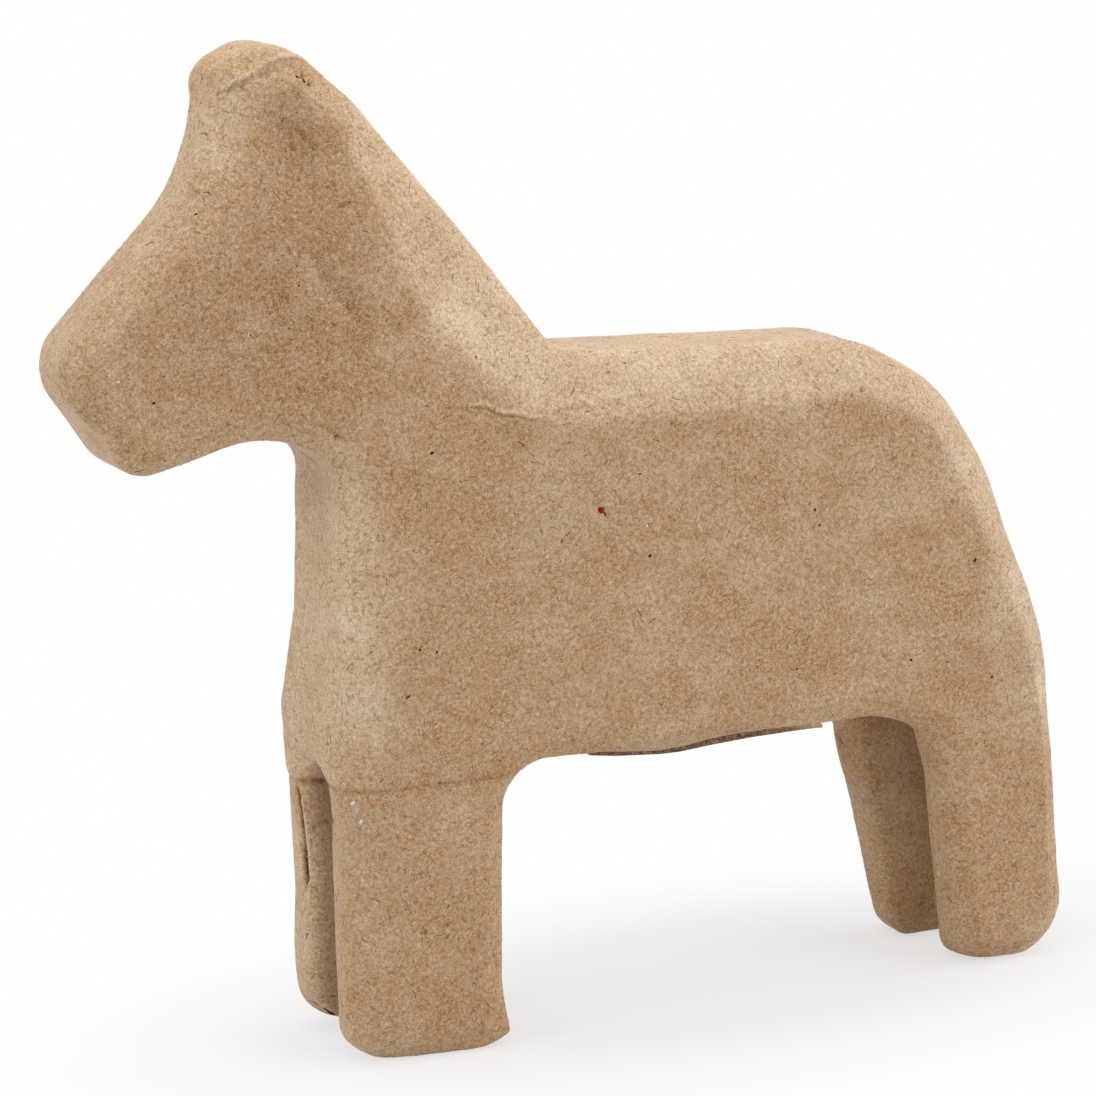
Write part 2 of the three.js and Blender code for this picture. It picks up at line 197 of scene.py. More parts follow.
def filletedOutline(distances):
    points = movedIn(cornerPoints, distances)
    turns = turnsOf(points)
    radii = np.maximum(fillets - np.sign(baseTurns) * distances, form["leastFillet"])
    tangents = radii * np.tan(np.abs(turns) / 2)
    lengths = np.linalg.norm(points - np.roll(points, 1, 0), axis=1)
    places, owners = [], []
    count = len(points)
    for i in range(count):
        before, after = (i - 1) % count, (i + 1) % count
        shares = [lengths[side] * tangents[i] / (tangents[i] + tangents[other])
                  for side, other in ((i, before), (after, after))]
        tangent = min(tangents[i], min(shares) * form["mostTangent"])
        radius = tangent / math.tan(abs(turns[i]) / 2)
        arriving = unit(points[i] - points[before])
        start = points[i] - arriving * tangent
        centre = start + np.array([-arriving[1], arriving[0]]) * np.sign(turns[i]) * radius
        arm = start - centre
        for step in range(arcSteps[i] + 1):
            angle = turns[i] * step / arcSteps[i]
            c, s = math.cos(angle), math.sin(angle)
            places.append(centre + np.array([c * arm[0] - s * arm[1], s * arm[0] + c * arm[1]]))
            owners.append(i)
    return np.array(places), np.array(owners)


flatOutline = filletedOutline(edgeDepths)[0]


def arcMiddle(name):
    i = cornerNames.index(name)
    return int((arcSteps[:i] + 1).sum() + arcSteps[i] // 2)


foldLow, foldHigh = flatOutline[arcMiddle("neckBase")], flatOutline[arcMiddle("withers")]
foldAlong = unit(foldHigh - foldLow)


def sideLean(places):
    past = foldAlong[0] * (places[:, 1] - foldLow[1]) - foldAlong[1] * (places[:, 0] - foldLow[0])
    return form["headLean"] * np.maximum(past, 0)


def linked(name, data):
    made = bpy.data.objects.new(name, data)
    bpy.context.scene.collection.objects.link(made)
    return made


def meshOf(name, points, faces):
    mesh = bpy.data.meshes.new(name)
    mesh.from_pydata([tuple(v) for v in points], [], [tuple(f) for f in faces])
    mesh.update()
    return mesh


def lofted(name, rings, caps):
    count = len(rings[0])
    faces = []
    for r in range(len(rings) - 1):
        near, far = r * count, (r + 1) * count
        faces += [(near + i, far + i, far + (i + 1) % count, near + (i + 1) % count) for i in range(count)]
    last = (len(rings) - 1) * count
    for places in caps:
        faces.append(tuple(places))
        faces.append(tuple(last + p for p in reversed(places)))
    mesh = meshOf(name, np.concatenate(rings), faces)
    work = bmesh.new()
    work.from_mesh(mesh)
    bmesh.ops.triangulate(work, faces=[f for f in work.faces if len(f.verts) > 4])
    bmesh.ops.recalc_face_normals(work, faces=work.faces)
    work.to_mesh(mesh)
    work.free()
    return linked(name, mesh)


def edgeCurve(t):
    lean = math.radians(form["arris"])
    bends = [(0, 0), (form["edgeTop"], 0),
             (1 - form["edgeSide"] * math.sin(lean), 1 - form["edgeSide"] * math.cos(lean)), (1, 1)]
    shares = [(1 - t) ** 3, 3 * (1 - t) ** 2 * t, 3 * (1 - t) * t * t, t ** 3]
    return [sum(share * bend[axis] for share, bend in zip(shares, bends)) for axis in (0, 1)]


def makePlate():
    left = []
    steps = 10
    for step in range(steps, -1, -1):
        outward, down = edgeCurve(step / steps)
        places, owners = filletedOutline(edgeDepths * down)
        room = form["halfWidth"] - sideLean(places)
        across = np.minimum(edgeWidths[owners], room - np.minimum(form["edgeLand"], room / 2))
        left.append(np.stack([places[:, 0], across * (1 - outward) - room, places[:, 1]], 1))
    right = [ring * np.array([1, -1, 1]) for ring in reversed(left)]
    count = len(left[0])
    a, b = arcMiddle("neckBase"), arcMiddle("withers")
    trunk = [i % count for i in range(a, b + 1)]
    head = [i % count for i in range(b, a + count + 1)]
    return lofted("plate", left + right, [trunk, head])


def makeSlot(name, front, rear, archEnd):
    halfGap, edge = form["legGap"] / 2, form["slotEdge"]
    steps = 6
    quarter = [math.pi / 2 * step / steps for step in range(steps + 1)]
    lines = [[form["corners"][n] for n in pair] for pair in (front, rear)]

    def lineX(line, z):
        low, high = line
        return low[0] + (high[0] - low[0]) * (z - low[1]) / (high[1] - low[1])

    def section(flare, topFlare, line, shift):
        topRound = form["slotRound"] + topFlare
        side = halfGap + flare
        points = [(side + edge, -form["slotOut"])]
        points += [(side + edge * (1 - math.sin(a)), edge * (1 - math.cos(a))) for a in quarter]
        top = form["slotTop"] + topFlare
        points += [(side - topRound * (1 - math.cos(a)), top - topRound * (1 - math.sin(a))) for a in quarter]
        loop = [(-y, z) for y, z in points] + list(reversed(points))
        return np.array([(lineX(line, z) + shift, y, z) for y, z in loop])

    def end(line, into, topFlares):
        rings = [section(edge, topFlares * edge, line, -into * form["slotOut"])]
        for a in quarter:
            flare = edge * (1 - math.sin(a))
            rings.append(section(flare, topFlares * flare, line, into * edge * (1 - math.cos(a))))
        return rings

    rings = end(lines[0], 1, 0 if archEnd == "front" else 1)
    rings += list(reversed(end(lines[1], -1, 0 if archEnd == "rear" else 1)))
    return lofted(name, rings, [list(range(len(rings[0])))])


def bakedMesh(source):
    graph = bpy.context.evaluated_depsgraph_get()
    return bpy.data.meshes.new_from_object(source.evaluated_get(graph))


def cornersOf(mesh):
    points = np.empty(len(mesh.vertices) * 3)
    mesh.vertices.foreach_get("co", points)
    loops = np.empty(len(mesh.loops), np.int32)
    mesh.loops.foreach_get("vertex_index", loops)
    return points.reshape(-1, 3), loops


def faded(values, low, high):
    t = np.clip((values - low) / (high - low), 0, 1)
    return t * t * (3 - 2 * t)


def legBack(points, b):
    x, y, z = points.T
    left = faded(-y, *b["side"])
    shift = np.interp(z, b["heights"], b["shifts"]) * (1 - faded(x, *b["end"]))
    shift *= faded(x, *b["start"]) * left
    placeX, placeZ, reach, rise = b["lift"]
    lift = rise * left * np.exp(-((x - placeX) ** 2 + (z - placeZ) ** 2) / reach ** 2)
    return points + np.stack([shift, np.zeros(len(points)), lift], 1)


def makeSkin(voxel):
    plate = makePlate()
    cutters = [makeSlot("foreSlot", ("foreToe", "knee"), ("foreHeel", "foreArch"), "rear"),
               makeSlot("hindSlot", ("hindToe", "hindArch"), ("hindHeel", "tail"), "front")]
    for cutter in cutters:
        cut = plate.modifiers.new(cutter.name, "BOOLEAN")
        cut.operation = "DIFFERENCE"
        cut.solver = "EXACT"
        cut.object = cutter
    remesh = plate.modifiers.new("remesh", "REMESH")
    remesh.mode = "VOXEL"
    remesh.voxel_size = voxel
    points, loops = cornersOf(bakedMesh(plate))
    for old in [plate] + cutters:
        bpy.data.objects.remove(old)
    return legBack(points, form["legBack"]), loops.reshape(-1, 4)


skin, quads = makeSkin(form["voxel"])
print("skin of", len(skin), "points")


def sidesOf(faces):
    count = faces.shape[1]
    sides = np.concatenate([faces[:, [i, (i + 1) % count]] for i in range(count)])
    return np.unique(np.sort(sides, 1), axis=0)


def gathered(owners, values, count):
    return np.stack([np.bincount(owners, column, count) for column in values.T], 1)


def smoothed(points, sides, amounts):
    degree = np.bincount(sides.ravel(), minlength=len(points))[:, None]
    for amount in amounts:
        total = sum(gathered(sides[:, a], points[sides[:, b]], len(points)) for a, b in ((0, 1), (1, 0)))
        points = points + amount * (total / degree - points)
    return points


def normalsOf(points, faces):
    corners = faces.shape[1]
    ends = (0, 2, 1, 3) if corners == 4 else (0, 1, 0, 2)
    a, b, c, d = (points[faces[:, i]] for i in ends)
    faceNormals = np.cross(b - a, d - c)
    return unit(sum(gathered(faces[:, i], faceNormals, len(points)) for i in range(corners)))


def worn(points, sides):
    reach = np.zeros((len(points), 1))
    for x, z, radius, passes in form["softer"]:
        gap = np.hypot(points[:, 0] - x, points[:, 2] - z)
        reach[:, 0] = np.maximum(reach[:, 0], passes * bell(gap, radius))
    middle, width = form["wornSide"]
    reach *= np.exp(-((points[:, 1:2] - middle) / width) ** 4)
    most = max(place[3] for place in form["softer"])
    return smoothed(points, sides, [0.5 * np.clip(reach - step, 0, 1) for step in range(most)])


roundingPass = [0.6, -0.62]  # in and out again, so that nothing shrinks
skinSides = sidesOf(quads)
skin = smoothed(skin, skinSides, roundingPass * form["rounding"])
skin = worn(skin, skinSides)
skin[:, 2] = np.maximum(skin[:, 2], 0)

# The papers: each covers one zone of the skin
papers = {
    "thickness": 0.8,
    "sole": 1.2,
    "foreSeam": 37.5,
    "farForeSeam": 35.4,
    "hindSeam": 36.9,
    "between": 18.8,
    "sheetReach": 6.2,
    "far": 200,
    "head": (-38, 106),
    "neck": (-19, 84),
    "fore": (-22.5, 54.6),
    "hind": (60.1, 54.6),
    "faceJoint": 130,
    "crownEnd": (-12, 160),
    "chinEnd": (-66, 60),
    "snap": 0.6,  # how far an edge of a paper may move to its drawn line
    "toneBlend": 24,  # passes that soften the step in painted light and shade from paper to paper
    "tones": {  # painted light and shade for each paper: how much lighter it is drawn than the paper's colour where light and sheen fall on it, or darker below zero where it lies in shade
        "back_paper": 0.20, "face_paper": 0.12, "crown_paper": 0.03, "chest_paper": 0.17,
        "side_paper_left": -0.03, "leg_wrap_hind_left": -0.05, "leg_wrap_front_right": 0.10,
        "leg_wrap_hind_right": -0.09,
    },
}


def stripZones(p):
    far, head, neck, fore, hind = (p[k] for k in ("far", "head", "neck", "fore", "hind"))
    joint, front = (head[0], p["faceJoint"]), (-far, p["faceJoint"])
    chin, ahead = p["chinEnd"], (-far, p["chinEnd"][1])
    underFore, underHind = (fore[0], -far), (hind[0], -far)
    return {
        "back_paper": [head, neck, fore, hind, underHind, (far, -far), (far, far), p["crownEnd"]],
        "face_paper": [head, joint, front, ahead, chin],
        "crown_paper": [head, p["crownEnd"], (-far, far), front, joint],
        "chest_paper": [head, chin, ahead, (-far, -far), underFore, fore, neck],
        "belly_paper": [fore, underFore, underHind, hind],
    }


def inside(points, polygon):
    x, z = points[:, 0], points[:, 1]
    hit = np.zeros(len(points), bool)
    for (ax, az), (bx, bz) in zip(polygon, np.roll(polygon, -1, 0)):
        if az != bz:
            hit ^= ((az > z) != (bz > z)) & (x < (bx - ax) * (z - az) / (bz - az) + ax)
    return hit


strips = stripZones(papers)
legNames = ("front_left", "front_right", "hind_left", "hind_right")
zoneList = list(strips) + ["side_paper_left", "side_paper_right"]
zoneList += ["leg_wrap_" + leg for leg in legNames] + ["sole_" + leg for leg in legNames]


def seamHeight(points):
    fore = np.where(points[:, 1] < 0, papers["foreSeam"], papers["farForeSeam"])
    return np.where(points[:, 0] < papers["between"], fore, papers["hindSeam"])


def legOf(centres):
    return np.where(centres[:, 0] < papers["between"], 0, 2) + (centres[:, 1] >= 0)


def zonesOf(centres):
    zones = np.zeros(len(centres), int)
    sideView = centres[:, [0, 2]]
    for name, polygon in strips.items():
        zones[inside(sideView, np.array(polygon, float))] = zoneList.index(name)
    flat = inside(sideView, flatOutline) & (np.abs(centres[:, 1]) > papers["sheetReach"])
    zones[flat & (centres[:, 1] < 0)] = zoneList.index("side_paper_left")
    zones[flat & (centres[:, 1] > 0)] = zoneList.index("side_paper_right")
    leg = legOf(centres)
    low = centres[:, 2] < seamHeight(centres)
    zones[low] = zoneList.index("leg_wrap_front_left") + leg[low]
    low = centres[:, 2] < papers["sole"]
    zones[low] = zoneList.index("sole_front_left") + leg[low]
    return zones


def nearestOnLines(points, starts, ends):
    best, bestGap = points.copy(), np.full(len(points), np.inf)
    for start, way in zip(starts, ends - starts):
        share = np.clip(((points - start) @ way) / (way @ way), 0, 1)
        place = start + share[:, None] * way
        gap = np.linalg.norm(points - place, axis=1)
        closer = gap < bestGap
        best[closer], bestGap[closer] = place[closer], gap[closer]
    return best, bestGap


def snapToSeams(points, faces, zones):
    snap = papers["snap"]
    kinds = np.zeros((len(points), 4), bool)  # sole, wrap, side, strip
    kindOf = np.array([3] * 5 + [2] * 2 + [1] * 4 + [0] * 4)[zones]
    lowest, highest = np.full(len(points), 99), np.full(len(points), -1)
    for i in range(4):
        kinds[faces[:, i], kindOf] = True
        np.minimum.at(lowest, faces[:, i], zones)
        np.maximum.at(highest, faces[:, i], zones)
    mixed = lowest != highest
    sideView = points[:, [0, 2]].copy()
    besideSheet = kinds[:, 2] & kinds[:, 3] & (np.abs(points[:, 1]) > papers["sheetReach"] + snap)
    sheetLines = flatOutline, np.roll(flatOutline, -1, 0)
    betweenStrips = kinds[:, 3] & ~kinds[:, :3].any(1)
    stripLines = [(a, b) for polygon in strips.values() for a, b in zip(polygon, polygon[1:] + polygon[:1])]
    stripLines = np.array(stripLines, float).transpose(1, 0, 2)
    for kind, lines in ((besideSheet, sheetLines), (betweenStrips, stripLines)):
        border = mixed & kind
        place, gap = nearestOnLines(sideView[border], *lines)
        sideView[border] = np.where(gap[:, None] < snap, place, sideView[border])
    border = mixed & kinds[:, 1] & kinds[:, 2:].any(1)
    sideView[border, 1] = seamHeight(points[border])
    border = mixed & kinds[:, 0] & kinds[:, 1]
    sideView[border, 1] = papers["sole"]
    points[:, 0], points[:, 2] = sideView.T


zones = zonesOf(skin[quads].mean(1))
snapToSeams(skin, quads, zones)
print("papers laid out:", len(set(zones)))

# Marks taken from the photograph, by its pixels. Creases are height and width in millimetres,
# tone, then points; a negative height is a groove, and one point alone is a dent or a bump.
# Their tone is painted shade along grooves and in dents and a painted highlight along ridges.
creases = {
    "near": [
        (0.45, 0.45, 0.22, [(212, 95), (232, 84), (250, 75), (264, 64), (278, 58), (300, 57), (315, 66), (323, 79)]),
        (-0.75, 3.0, -0.10, [(270, 100), (284, 122), (302, 150), (318, 178)]),
        (-0.22, 0.40, -0.16, [(226, 93), (240, 85), (256, 77), (272, 68), (290, 66), (303, 73)]),
        (-0.22, 0.25, -0.45, [(244, 81), (240, 89), (249, 92)]),
        (-0.35, 0.3, -1.2, [(302, 77)]), (-0.35, 0.3, -1.2, [(309, 83)]), (-0.2, 0.25, -0.8, [(296, 76)]),
        (-0.25, 0.35, -0.3, [(297, 128), (305, 136), (314, 146)]),
        (-0.22, 0.3, -0.3, [(291, 144), (297, 152)]),
        (-0.22, 0.28, -0.35, [(337, 209), (341, 205), (344, 206), (348, 202), (353, 203)]),
        (0.12, 0.3, 0.1, [(338, 203), (345, 199), (351, 197)]),
        (-0.40, 1.3, -0.22, [(311, 246), (320, 270), (334, 288), (352, 308), (371, 331)]),
        (0.30, 2.0, 0.06, [(322, 150), (332, 190), (336, 230)]),
        (0.32, 0.28, 0.42, [(463, 405), (474, 404), (486, 404), (495, 409), (503, 412), (516, 412), (531, 416),
                            (542, 417)]),
        (-0.20, 0.24, -0.28, [(466, 408), (478, 407), (487, 408), (495, 413), (503, 416), (516, 416), (530, 420)]),
        (0.12, 0.5, 0.12, [(545, 412), (556, 405), (572, 403), (590, 402), (604, 397), (626, 394), (652, 389)]),
        (-0.08, 0.3, -0.25, [(548, 417), (560, 410), (575, 408), (592, 407)]),
        (0.18, 0.3, 0.08, [(481, 380), (484, 391), (489, 399)]),
        (0.16, 0.26, 0.2, [(576, 396), (585, 400), (593, 406)]),
        (-0.12, 0.22, -0.35, [(577, 400), (585, 404), (592, 410)]),
        (-0.35, 0.35, -0.35, [(318, 424), (330, 431), (346, 441)]),
        (-0.45, 0.35, -1.2, [(336, 438)]),
        (-0.25, 0.4, -0.15, [(296, 448), (306, 456), (318, 463)]),
        (-0.35, 0.4, -1.3, [(862, 390)]), (-0.25, 0.3, -0.9, [(852, 395)]),
        (-0.15, 0.5, -0.08, [(936, 443), (950, 445), (964, 446)]),
        (-0.15, 0.5, -0.08, [(905, 425), (915, 422), (926, 424)]),
        (-0.16, 0.4, -0.15, [(1030, 668), (1035, 687), (1040, 706)]),
        (-0.12, 0.7, -0.06, [(297, 602), (320, 597), (345, 600)]),
        (-0.15, 1.1, -0.05, [(337, 530), (337, 620), (335, 740)]),
        (-0.22, 0.55, -0.55, [(299, 785), (312, 780), (328, 783)]),
        (-0.18, 0.45, -0.45, [(312, 828), (325, 822), (335, 820)]),
        (-0.50, 0.60, -1.8, [(295, 792), (299, 808), (302, 828), (304, 850), (305, 872), (306, 888)]),
        (0.20, 0.4, 0.15, [(299, 792), (303, 808), (307, 828), (309, 850), (309, 888), (309, 905)]),
        (-0.25, 0.35, -0.35, [(493, 952), (497, 962), (498, 973)]),
        (-0.18, 0.3, -0.25, [(472, 986), (480, 976)]),
        (-0.40, 0.6, -0.35, [(481, 1033)]),
        (-0.2, 0.4, -0.2, [(470, 1012), (483, 1003), (497, 1001)]),
        (0.28, 0.5, 0.10, [(354, 804), (357, 812), (355, 821), (360, 829)]),
        (-0.30, 0.6, -0.4, [(836, 735), (842, 745)]),
        (-0.16, 0.5, -0.15, [(850, 702), (872, 703), (893, 708), (912, 722), (922, 742)]),
        (0.10, 0.5, 0.12, [(930, 770), (934, 810), (938, 860), (941, 905)]),
        (-0.40, 0.80, -1.3, [(301, 846), (304, 864), (306, 884)]),
        (-0.30, 0.70, -1.0, [(295, 786), (298, 800)]),
    ],
    "spacing": 3,  # pixels
    "reach": 3.2,  # widths
    "facing": -0.2,
    "fadeOut": 6,  # a crease fades out over the last sixth or so of its length
    "endLeft": 0.25,
    "toneWidth": 0.6,  # the width of its painted shade or highlight, against that of the crease
    "seamDepth": 0.16,
    "seamTone": -0.36,
    "hindSeam": 0.4,  # how much of this the hind legs' seams have
    "seamWidth": 0.36,
    "seamWobble": 0.11,
    "seamWaves": [(0.9, 0.7, 0, 1), (2.3, -1.9, 1, 0.6)],  # along, across, phase, height
    "seamStep": 0.10,
    "seamFade": 4,
    "seamFine": 1.3,  # the skin is finer this near to a seam
}

# Broad tones, mostly painted shade in hollows and on faces turned from the lamps and painted light on lit edges,
# tops and the far legs, with a few real dark spots at the muzzle: millimetres across, tone, place
paintedLightAndStains = [
    (4.5, -0.26, (285, 122)), (4, -0.16, (302, 160)), (4, 0.10, (226, 165)), (9, -0.08, (365, 370)),
    (1.2, -0.3, (93, 437)), (0.8, -0.35, (60, 375)),
    (11, -0.13, (200, 330)), (11, -0.13, (290, 360)), (9, -0.14, (280, 240)), (4, -0.10, (345, 245)),
    (6, 0.16, (356, 540)), (6, 0.16, (356, 620)), (6, 0.14, (356, 700)), (7, 0.20, (480, 345)),
    (6, 0.20, (942, 480)), (7, -0.07, (415, 255)), (4, -0.10, (855, 780)), (6, 0.10, (430, 320)),
    (6, 0.10, (620, 375)), (6, 0.10, (700, 372)), (6, 0.10, (780, 372)), (5, 0.08, (850, 375)),
    (5, 0.14, (1008, 600)), (5, 0.14, (1038, 690)), (4, 0.12, (215, 130)), (5, 0.08, (195, 215)),
    (2.2, -0.12, (340, 204)), (3, -0.06, (330, 160)), (2.5, -0.08, (315, 1003)), (3, -0.07, (470, 1010)),
    (4, -0.05, (300, 330)), (3, -0.05, (330, 290)), (5, 0.03, (760, 360)), (3, -0.08, (985, 660)),
    (2.5, -0.07, (860, 412)), (5, 0.10, (130, 315)), (3, -0.2, (90, 415)), (5, -0.10, (905, 750)),
    (5, 0.12, (908, 810)), (5, 0.12, (905, 860)), (6, 0.16, (313, 870)), (6, 0.16, (316, 950)),
    (4, -0.10, (860, 722)), (2, -0.06, (795, 665)), (1.5, -0.2, (838, 740)),
]

# Flecks caught in the paper: place, length and width in millimetres, turn in the picture, colour
fleckTints = {"bark": (0.02, 0.009, 0.003), "rust": (0.15, 0.05, 0.015), "red": (0.24, 0.006, 0.006),
              "white": (0.78, 0.74, 0.68), "grey": (0.5, 0.48, 0.44)}
flecks = [
    (601, 510, 1.4, 1.05, -35, "red"), (605, 514, 0.7, 0.45, -50, "red"),
    (568, 534, 1.25, 0.13, 38, "bark"), (562, 541, 0.45, 0.28, 80, "bark"), (432, 453, 0.6, 0.4, 20, "bark"),
    (476, 357, 0.6, 0.25, 60, "bark"), (590, 352, 0.5, 0.22, 10, "bark"), (625, 363, 0.55, 0.2, 30, "bark"),
    (296, 558, 0.5, 0.3, 70, "bark"), (975, 560, 0.75, 0.5, 60, "bark"), (820, 525, 0.5, 0.3, 20, "bark"),
    (815, 510, 0.65, 0.4, 80, "bark"), (408, 697, 0.9, 0.45, 20, "rust"), (420, 650, 0.5, 0.3, 0, "bark"),
    (437, 652, 0.45, 0.3, 40, "bark"), (911, 660, 0.7, 0.4, -30, "bark"), (947, 662, 0.5, 0.25, 0, "bark"),
    (992, 677, 0.7, 0.4, 20, "rust"), (640, 474, 0.4, 0.3, 0, "bark"), (650, 556, 0.75, 0.45, 10, "bark"),
    (547, 557, 0.4, 0.3, 0, "white"), (436, 572, 0.35, 0.3, 0, "white"), (640, 610, 0.4, 0.3, 0, "white"),
    (118, 382, 0.5, 0.35, 10, "white"), (647, 526, 0.45, 0.3, 20, "white"), (357, 811, 1.6, 0.7, 80, "grey"),
    (361, 822, 1.1, 0.55, 60, "white"), (353, 803, 0.9, 0.5, 20, "white"), (357, 830, 0.8, 0.4, 90, "grey"),
    (1042, 721, 0.7, 0.3, 60, "white"),
    (315, 1003, 1.4, 0.5, 5, "bark"), (297, 77, 0.6, 0.3, -35, "bark"), (304, 81, 0.7, 0.3, -60, "bark"),
    (308, 85, 0.6, 0.4, -20, "bark"), (797, 669, 0.5, 0.3, 0, "bark"), (636, 518, 0.35, 0.2, 0, "bark"),
    (545, 550, 0.4, 0.15, 70, "bark"), (196, 214, 0.5, 0.25, 30, "bark"), (154, 403, 0.5, 0.4, 20, "bark"),
]

# Places where the paper is pulled out of the moulded form: pixel, where it goes, reach in millimetres
pulls = [
    ((499, 1027), (506, 1030), 2.4),
    ((499, 1027), (508, 1031), 1.0),
    ((338, 1017), (337, 1003), 4.5),
    ((318, 1008), (319, 1003), 4.0),
    ((376, 1048), (376, 1044), 4.0),
    ((964, 950), (966, 945), 3.5),
    ((1023, 936), (1022, 931), 4.5),
    ((980, 950), (981, 947), 4.0),
    ((300, 775), (296, 775), 6.0),
    ((303, 955), (299, 955), 6.0),
    ((842, 745), (838, 745), 6.0),
    ((1022, 600), (1025, 599), 6.0),
    ((99, 447), (101, 444), 3.5),
    ((498, 1005), (501, 1006), 2.4),
    ((650, 743), (651, 748), 5.0),
    ((686, 738), (687, 742.5), 5.0),
    ((194, 76), (190, 78), 2.2),
    ((195, 98), (199, 98), 1.2),
]

# A loose edge of paper under the belly, by the pixels of its upper and lower edge
looseEdge = {
    "upper": [(583, 744), (590, 743), (616, 743), (662, 741), (681, 739), (708, 735), (750, 728), (793, 722),
              (818, 716), (820, 718)],
    "lower": [(583, 751), (590, 755.5), (616, 756), (662, 754), (681, 751.5), (708, 745.5), (750, 737.5),
              (793, 731), (812, 728.5), (823, 727.5)],
    "upperDepth": -10.0,
    "lowerDepth": -9.3,
    "thickness": 0.3,
    "columns": 60,
    "rows": 4,
    # painted shade: the sheet is drawn dark where the belly shades it, the torn tip at the end left plain
    "tone": [-0.8, -1.2, -1.25, -1.25, -1.25, -1.2, -1.1, -0.9, 0.0, 0.1],
}


def pointsAlong(pixels, spacing):
    pixels = np.array(pixels, float)
    if len(pixels) == 1:
        return pixels
    lengths = np.r_[0, np.cumsum(np.linalg.norm(np.diff(pixels, axis=0), axis=1))]
    at = np.linspace(0, lengths[-1], max(2, int(lengths[-1] / spacing)))
    return np.stack([np.interp(at, lengths, pixels[:, 0]), np.interp(at, lengths, pixels[:, 1])], 1)


def treeOf(points, faces):
    return BVHTree.FromPolygons([tuple(v) for v in points], [tuple(f) for f in faces])


def castPixels(tree, pixels):
    start = Vector(eye)
    hits = []
    for ray in raysThrough(pixels):
        place, normal, face, distance = tree.ray_cast(start, Vector(ray))
        if place is not None:
            hits.append((np.array(place), np.array(normal), face))
    return hits


# Finer skin where the paper is creased, torn or folded: pixel and reach
finer = [(255, 75, 75), (300, 140, 45), (342, 206, 24), (330, 275, 40), (360, 320, 30), (500, 405, 50),
         (540, 415, 25), (585, 402, 24), (330, 435, 34), (298, 455, 20), (858, 392, 18), (950, 445, 22),
         (1035, 687, 26), (310, 850, 60), (315, 800, 30), (320, 1000, 30), (490, 1000, 50), (480, 1030, 36),
         (357, 815, 24), (890, 725, 50), (934, 800, 40), (560, 752, 30), (620, 752, 30), (680, 748, 30),
         (740, 738, 30), (800, 727, 30), (336, 600, 24), (95, 437, 14), (60, 375, 14)]


def refine(points, faces, zones):
    normals = normalsOf(points, faces)
    pixels = pixelsOf(points)
    facing = ((eye - points) * normals).sum(1) > -40  # towards the camera, or just past the outline
    marked = np.abs(points[:, 2] - seamHeight(points)) < creases["seamFine"]
    for x, y, reach in finer:
        marked |= facing & (np.hypot(pixels[:, 0] - x, pixels[:, 1] - y) < reach)
    mesh = meshOf("fineSkin", points, faces)
    work = bmesh.new()
    work.from_mesh(mesh)
    layer = work.faces.layers.int.new("zone")
    for face, zone in zip(work.faces, zones):
        face[layer] = int(zone)
    sides = [e for e in work.edges if marked[e.verts[0].index] and marked[e.verts[1].index]]
    bmesh.ops.subdivide_edges(work, edges=sides, cuts=1, use_grid_fill=True)
    bmesh.ops.triangulate(work, faces=work.faces, quad_method="SHORT_EDGE")
    newZones = np.array([face[layer] for face in work.faces])
    work.to_mesh(mesh)
    work.free()
    points, loops = cornersOf(mesh)
    bpy.data.meshes.remove(mesh)
    return points, loops.reshape(-1, 3), newZones


skin, faces, zones = refine(skin, quads, zones)
print("skin refined to", len(faces), "triangles")
baseNormals = normalsOf(skin, faces)


def distanceToPath(points, path):
    if len(path) == 1:
        return np.linalg.norm(points - path[0], axis=1), np.zeros(len(points))
    best, share = np.full(len(points), np.inf), np.zeros(len(points))
    for i, (a, b) in enumerate(zip(path, path[1:])):
        way = b - a
        t = np.clip(((points - a) @ way) / max(way @ way, 1e-9), 0, 1)
        gap = np.linalg.norm(points - a - t[:, None] * way, axis=1)
        closer = gap < best
        best[closer] = gap[closer]
        share[closer] = ((i + t) / (len(path) - 1))[closer]
    return best, share


def pressMarks(points, faces, normals, c):
    tree = treeOf(points, faces)
    push, tone = np.zeros(len(points)), np.zeros(len(points))
    for height, width, shade, marks in c["near"]:
        hits = castPixels(tree, pointsAlong(marks, c["spacing"]))
        if not hits:
            print("no skin at", marks[0])
            continue
        path = np.array([h[0] for h in hits])
        reach = c["reach"] * width
        near = np.nonzero((points > path.min(0) - reach).all(1) & (points < path.max(0) + reach).all(1)
                          & (normals @ hits[0][1] > c["facing"]))[0]
        gap, share = distanceToPath(points[near], path)
        ends = np.clip(np.minimum(share, 1 - share) * c["fadeOut"] + c["endLeft"], 0, 1) if len(path) > 1 else 1
        push[near] += height * ends * bell(gap, width)
        # painted shade in grooves and dents, painted highlight along ridges
        tone[near] += shade * ends * bell(gap, c["toneWidth"] * width)
    # broad painted light and shade, and a few real dark spots
    for width, shade, place in paintedLightAndStains:
        for hit in castPixels(tree, [place]):
            gap = np.linalg.norm(points - hit[0], axis=1)
            tone += shade * bell(gap, width)
    return push, tone


def pullSkin(points, faces):
    tree = treeOf(points, faces)
    sideways = np.array([[eyeRight[0], eyeRight[2]], [eyeUp[0], eyeUp[2]]])
    for start, end, reach in pulls:
        for place, normal, face in castPixels(tree, [start]):
            deep = (place - eye) @ eyeAhead / camera["lensPixels"]
            x, z = np.linalg.solve(sideways, [(end[0] - start[0]) * deep, (start[1] - end[1]) * deep])
            gap = np.linalg.norm(points - place, axis=1)
            points = points + np.array([x, 0, z]) * bell(gap, reach)[:, None]
    return points


skin = pullSkin(skin, faces)
skinSides = sidesOf(faces)
baseNormals = unit(smoothed(normalsOf(skin, faces), skinSides, [1.0] * 2))
push, tone = pressMarks(skin, faces, baseNormals, creases)


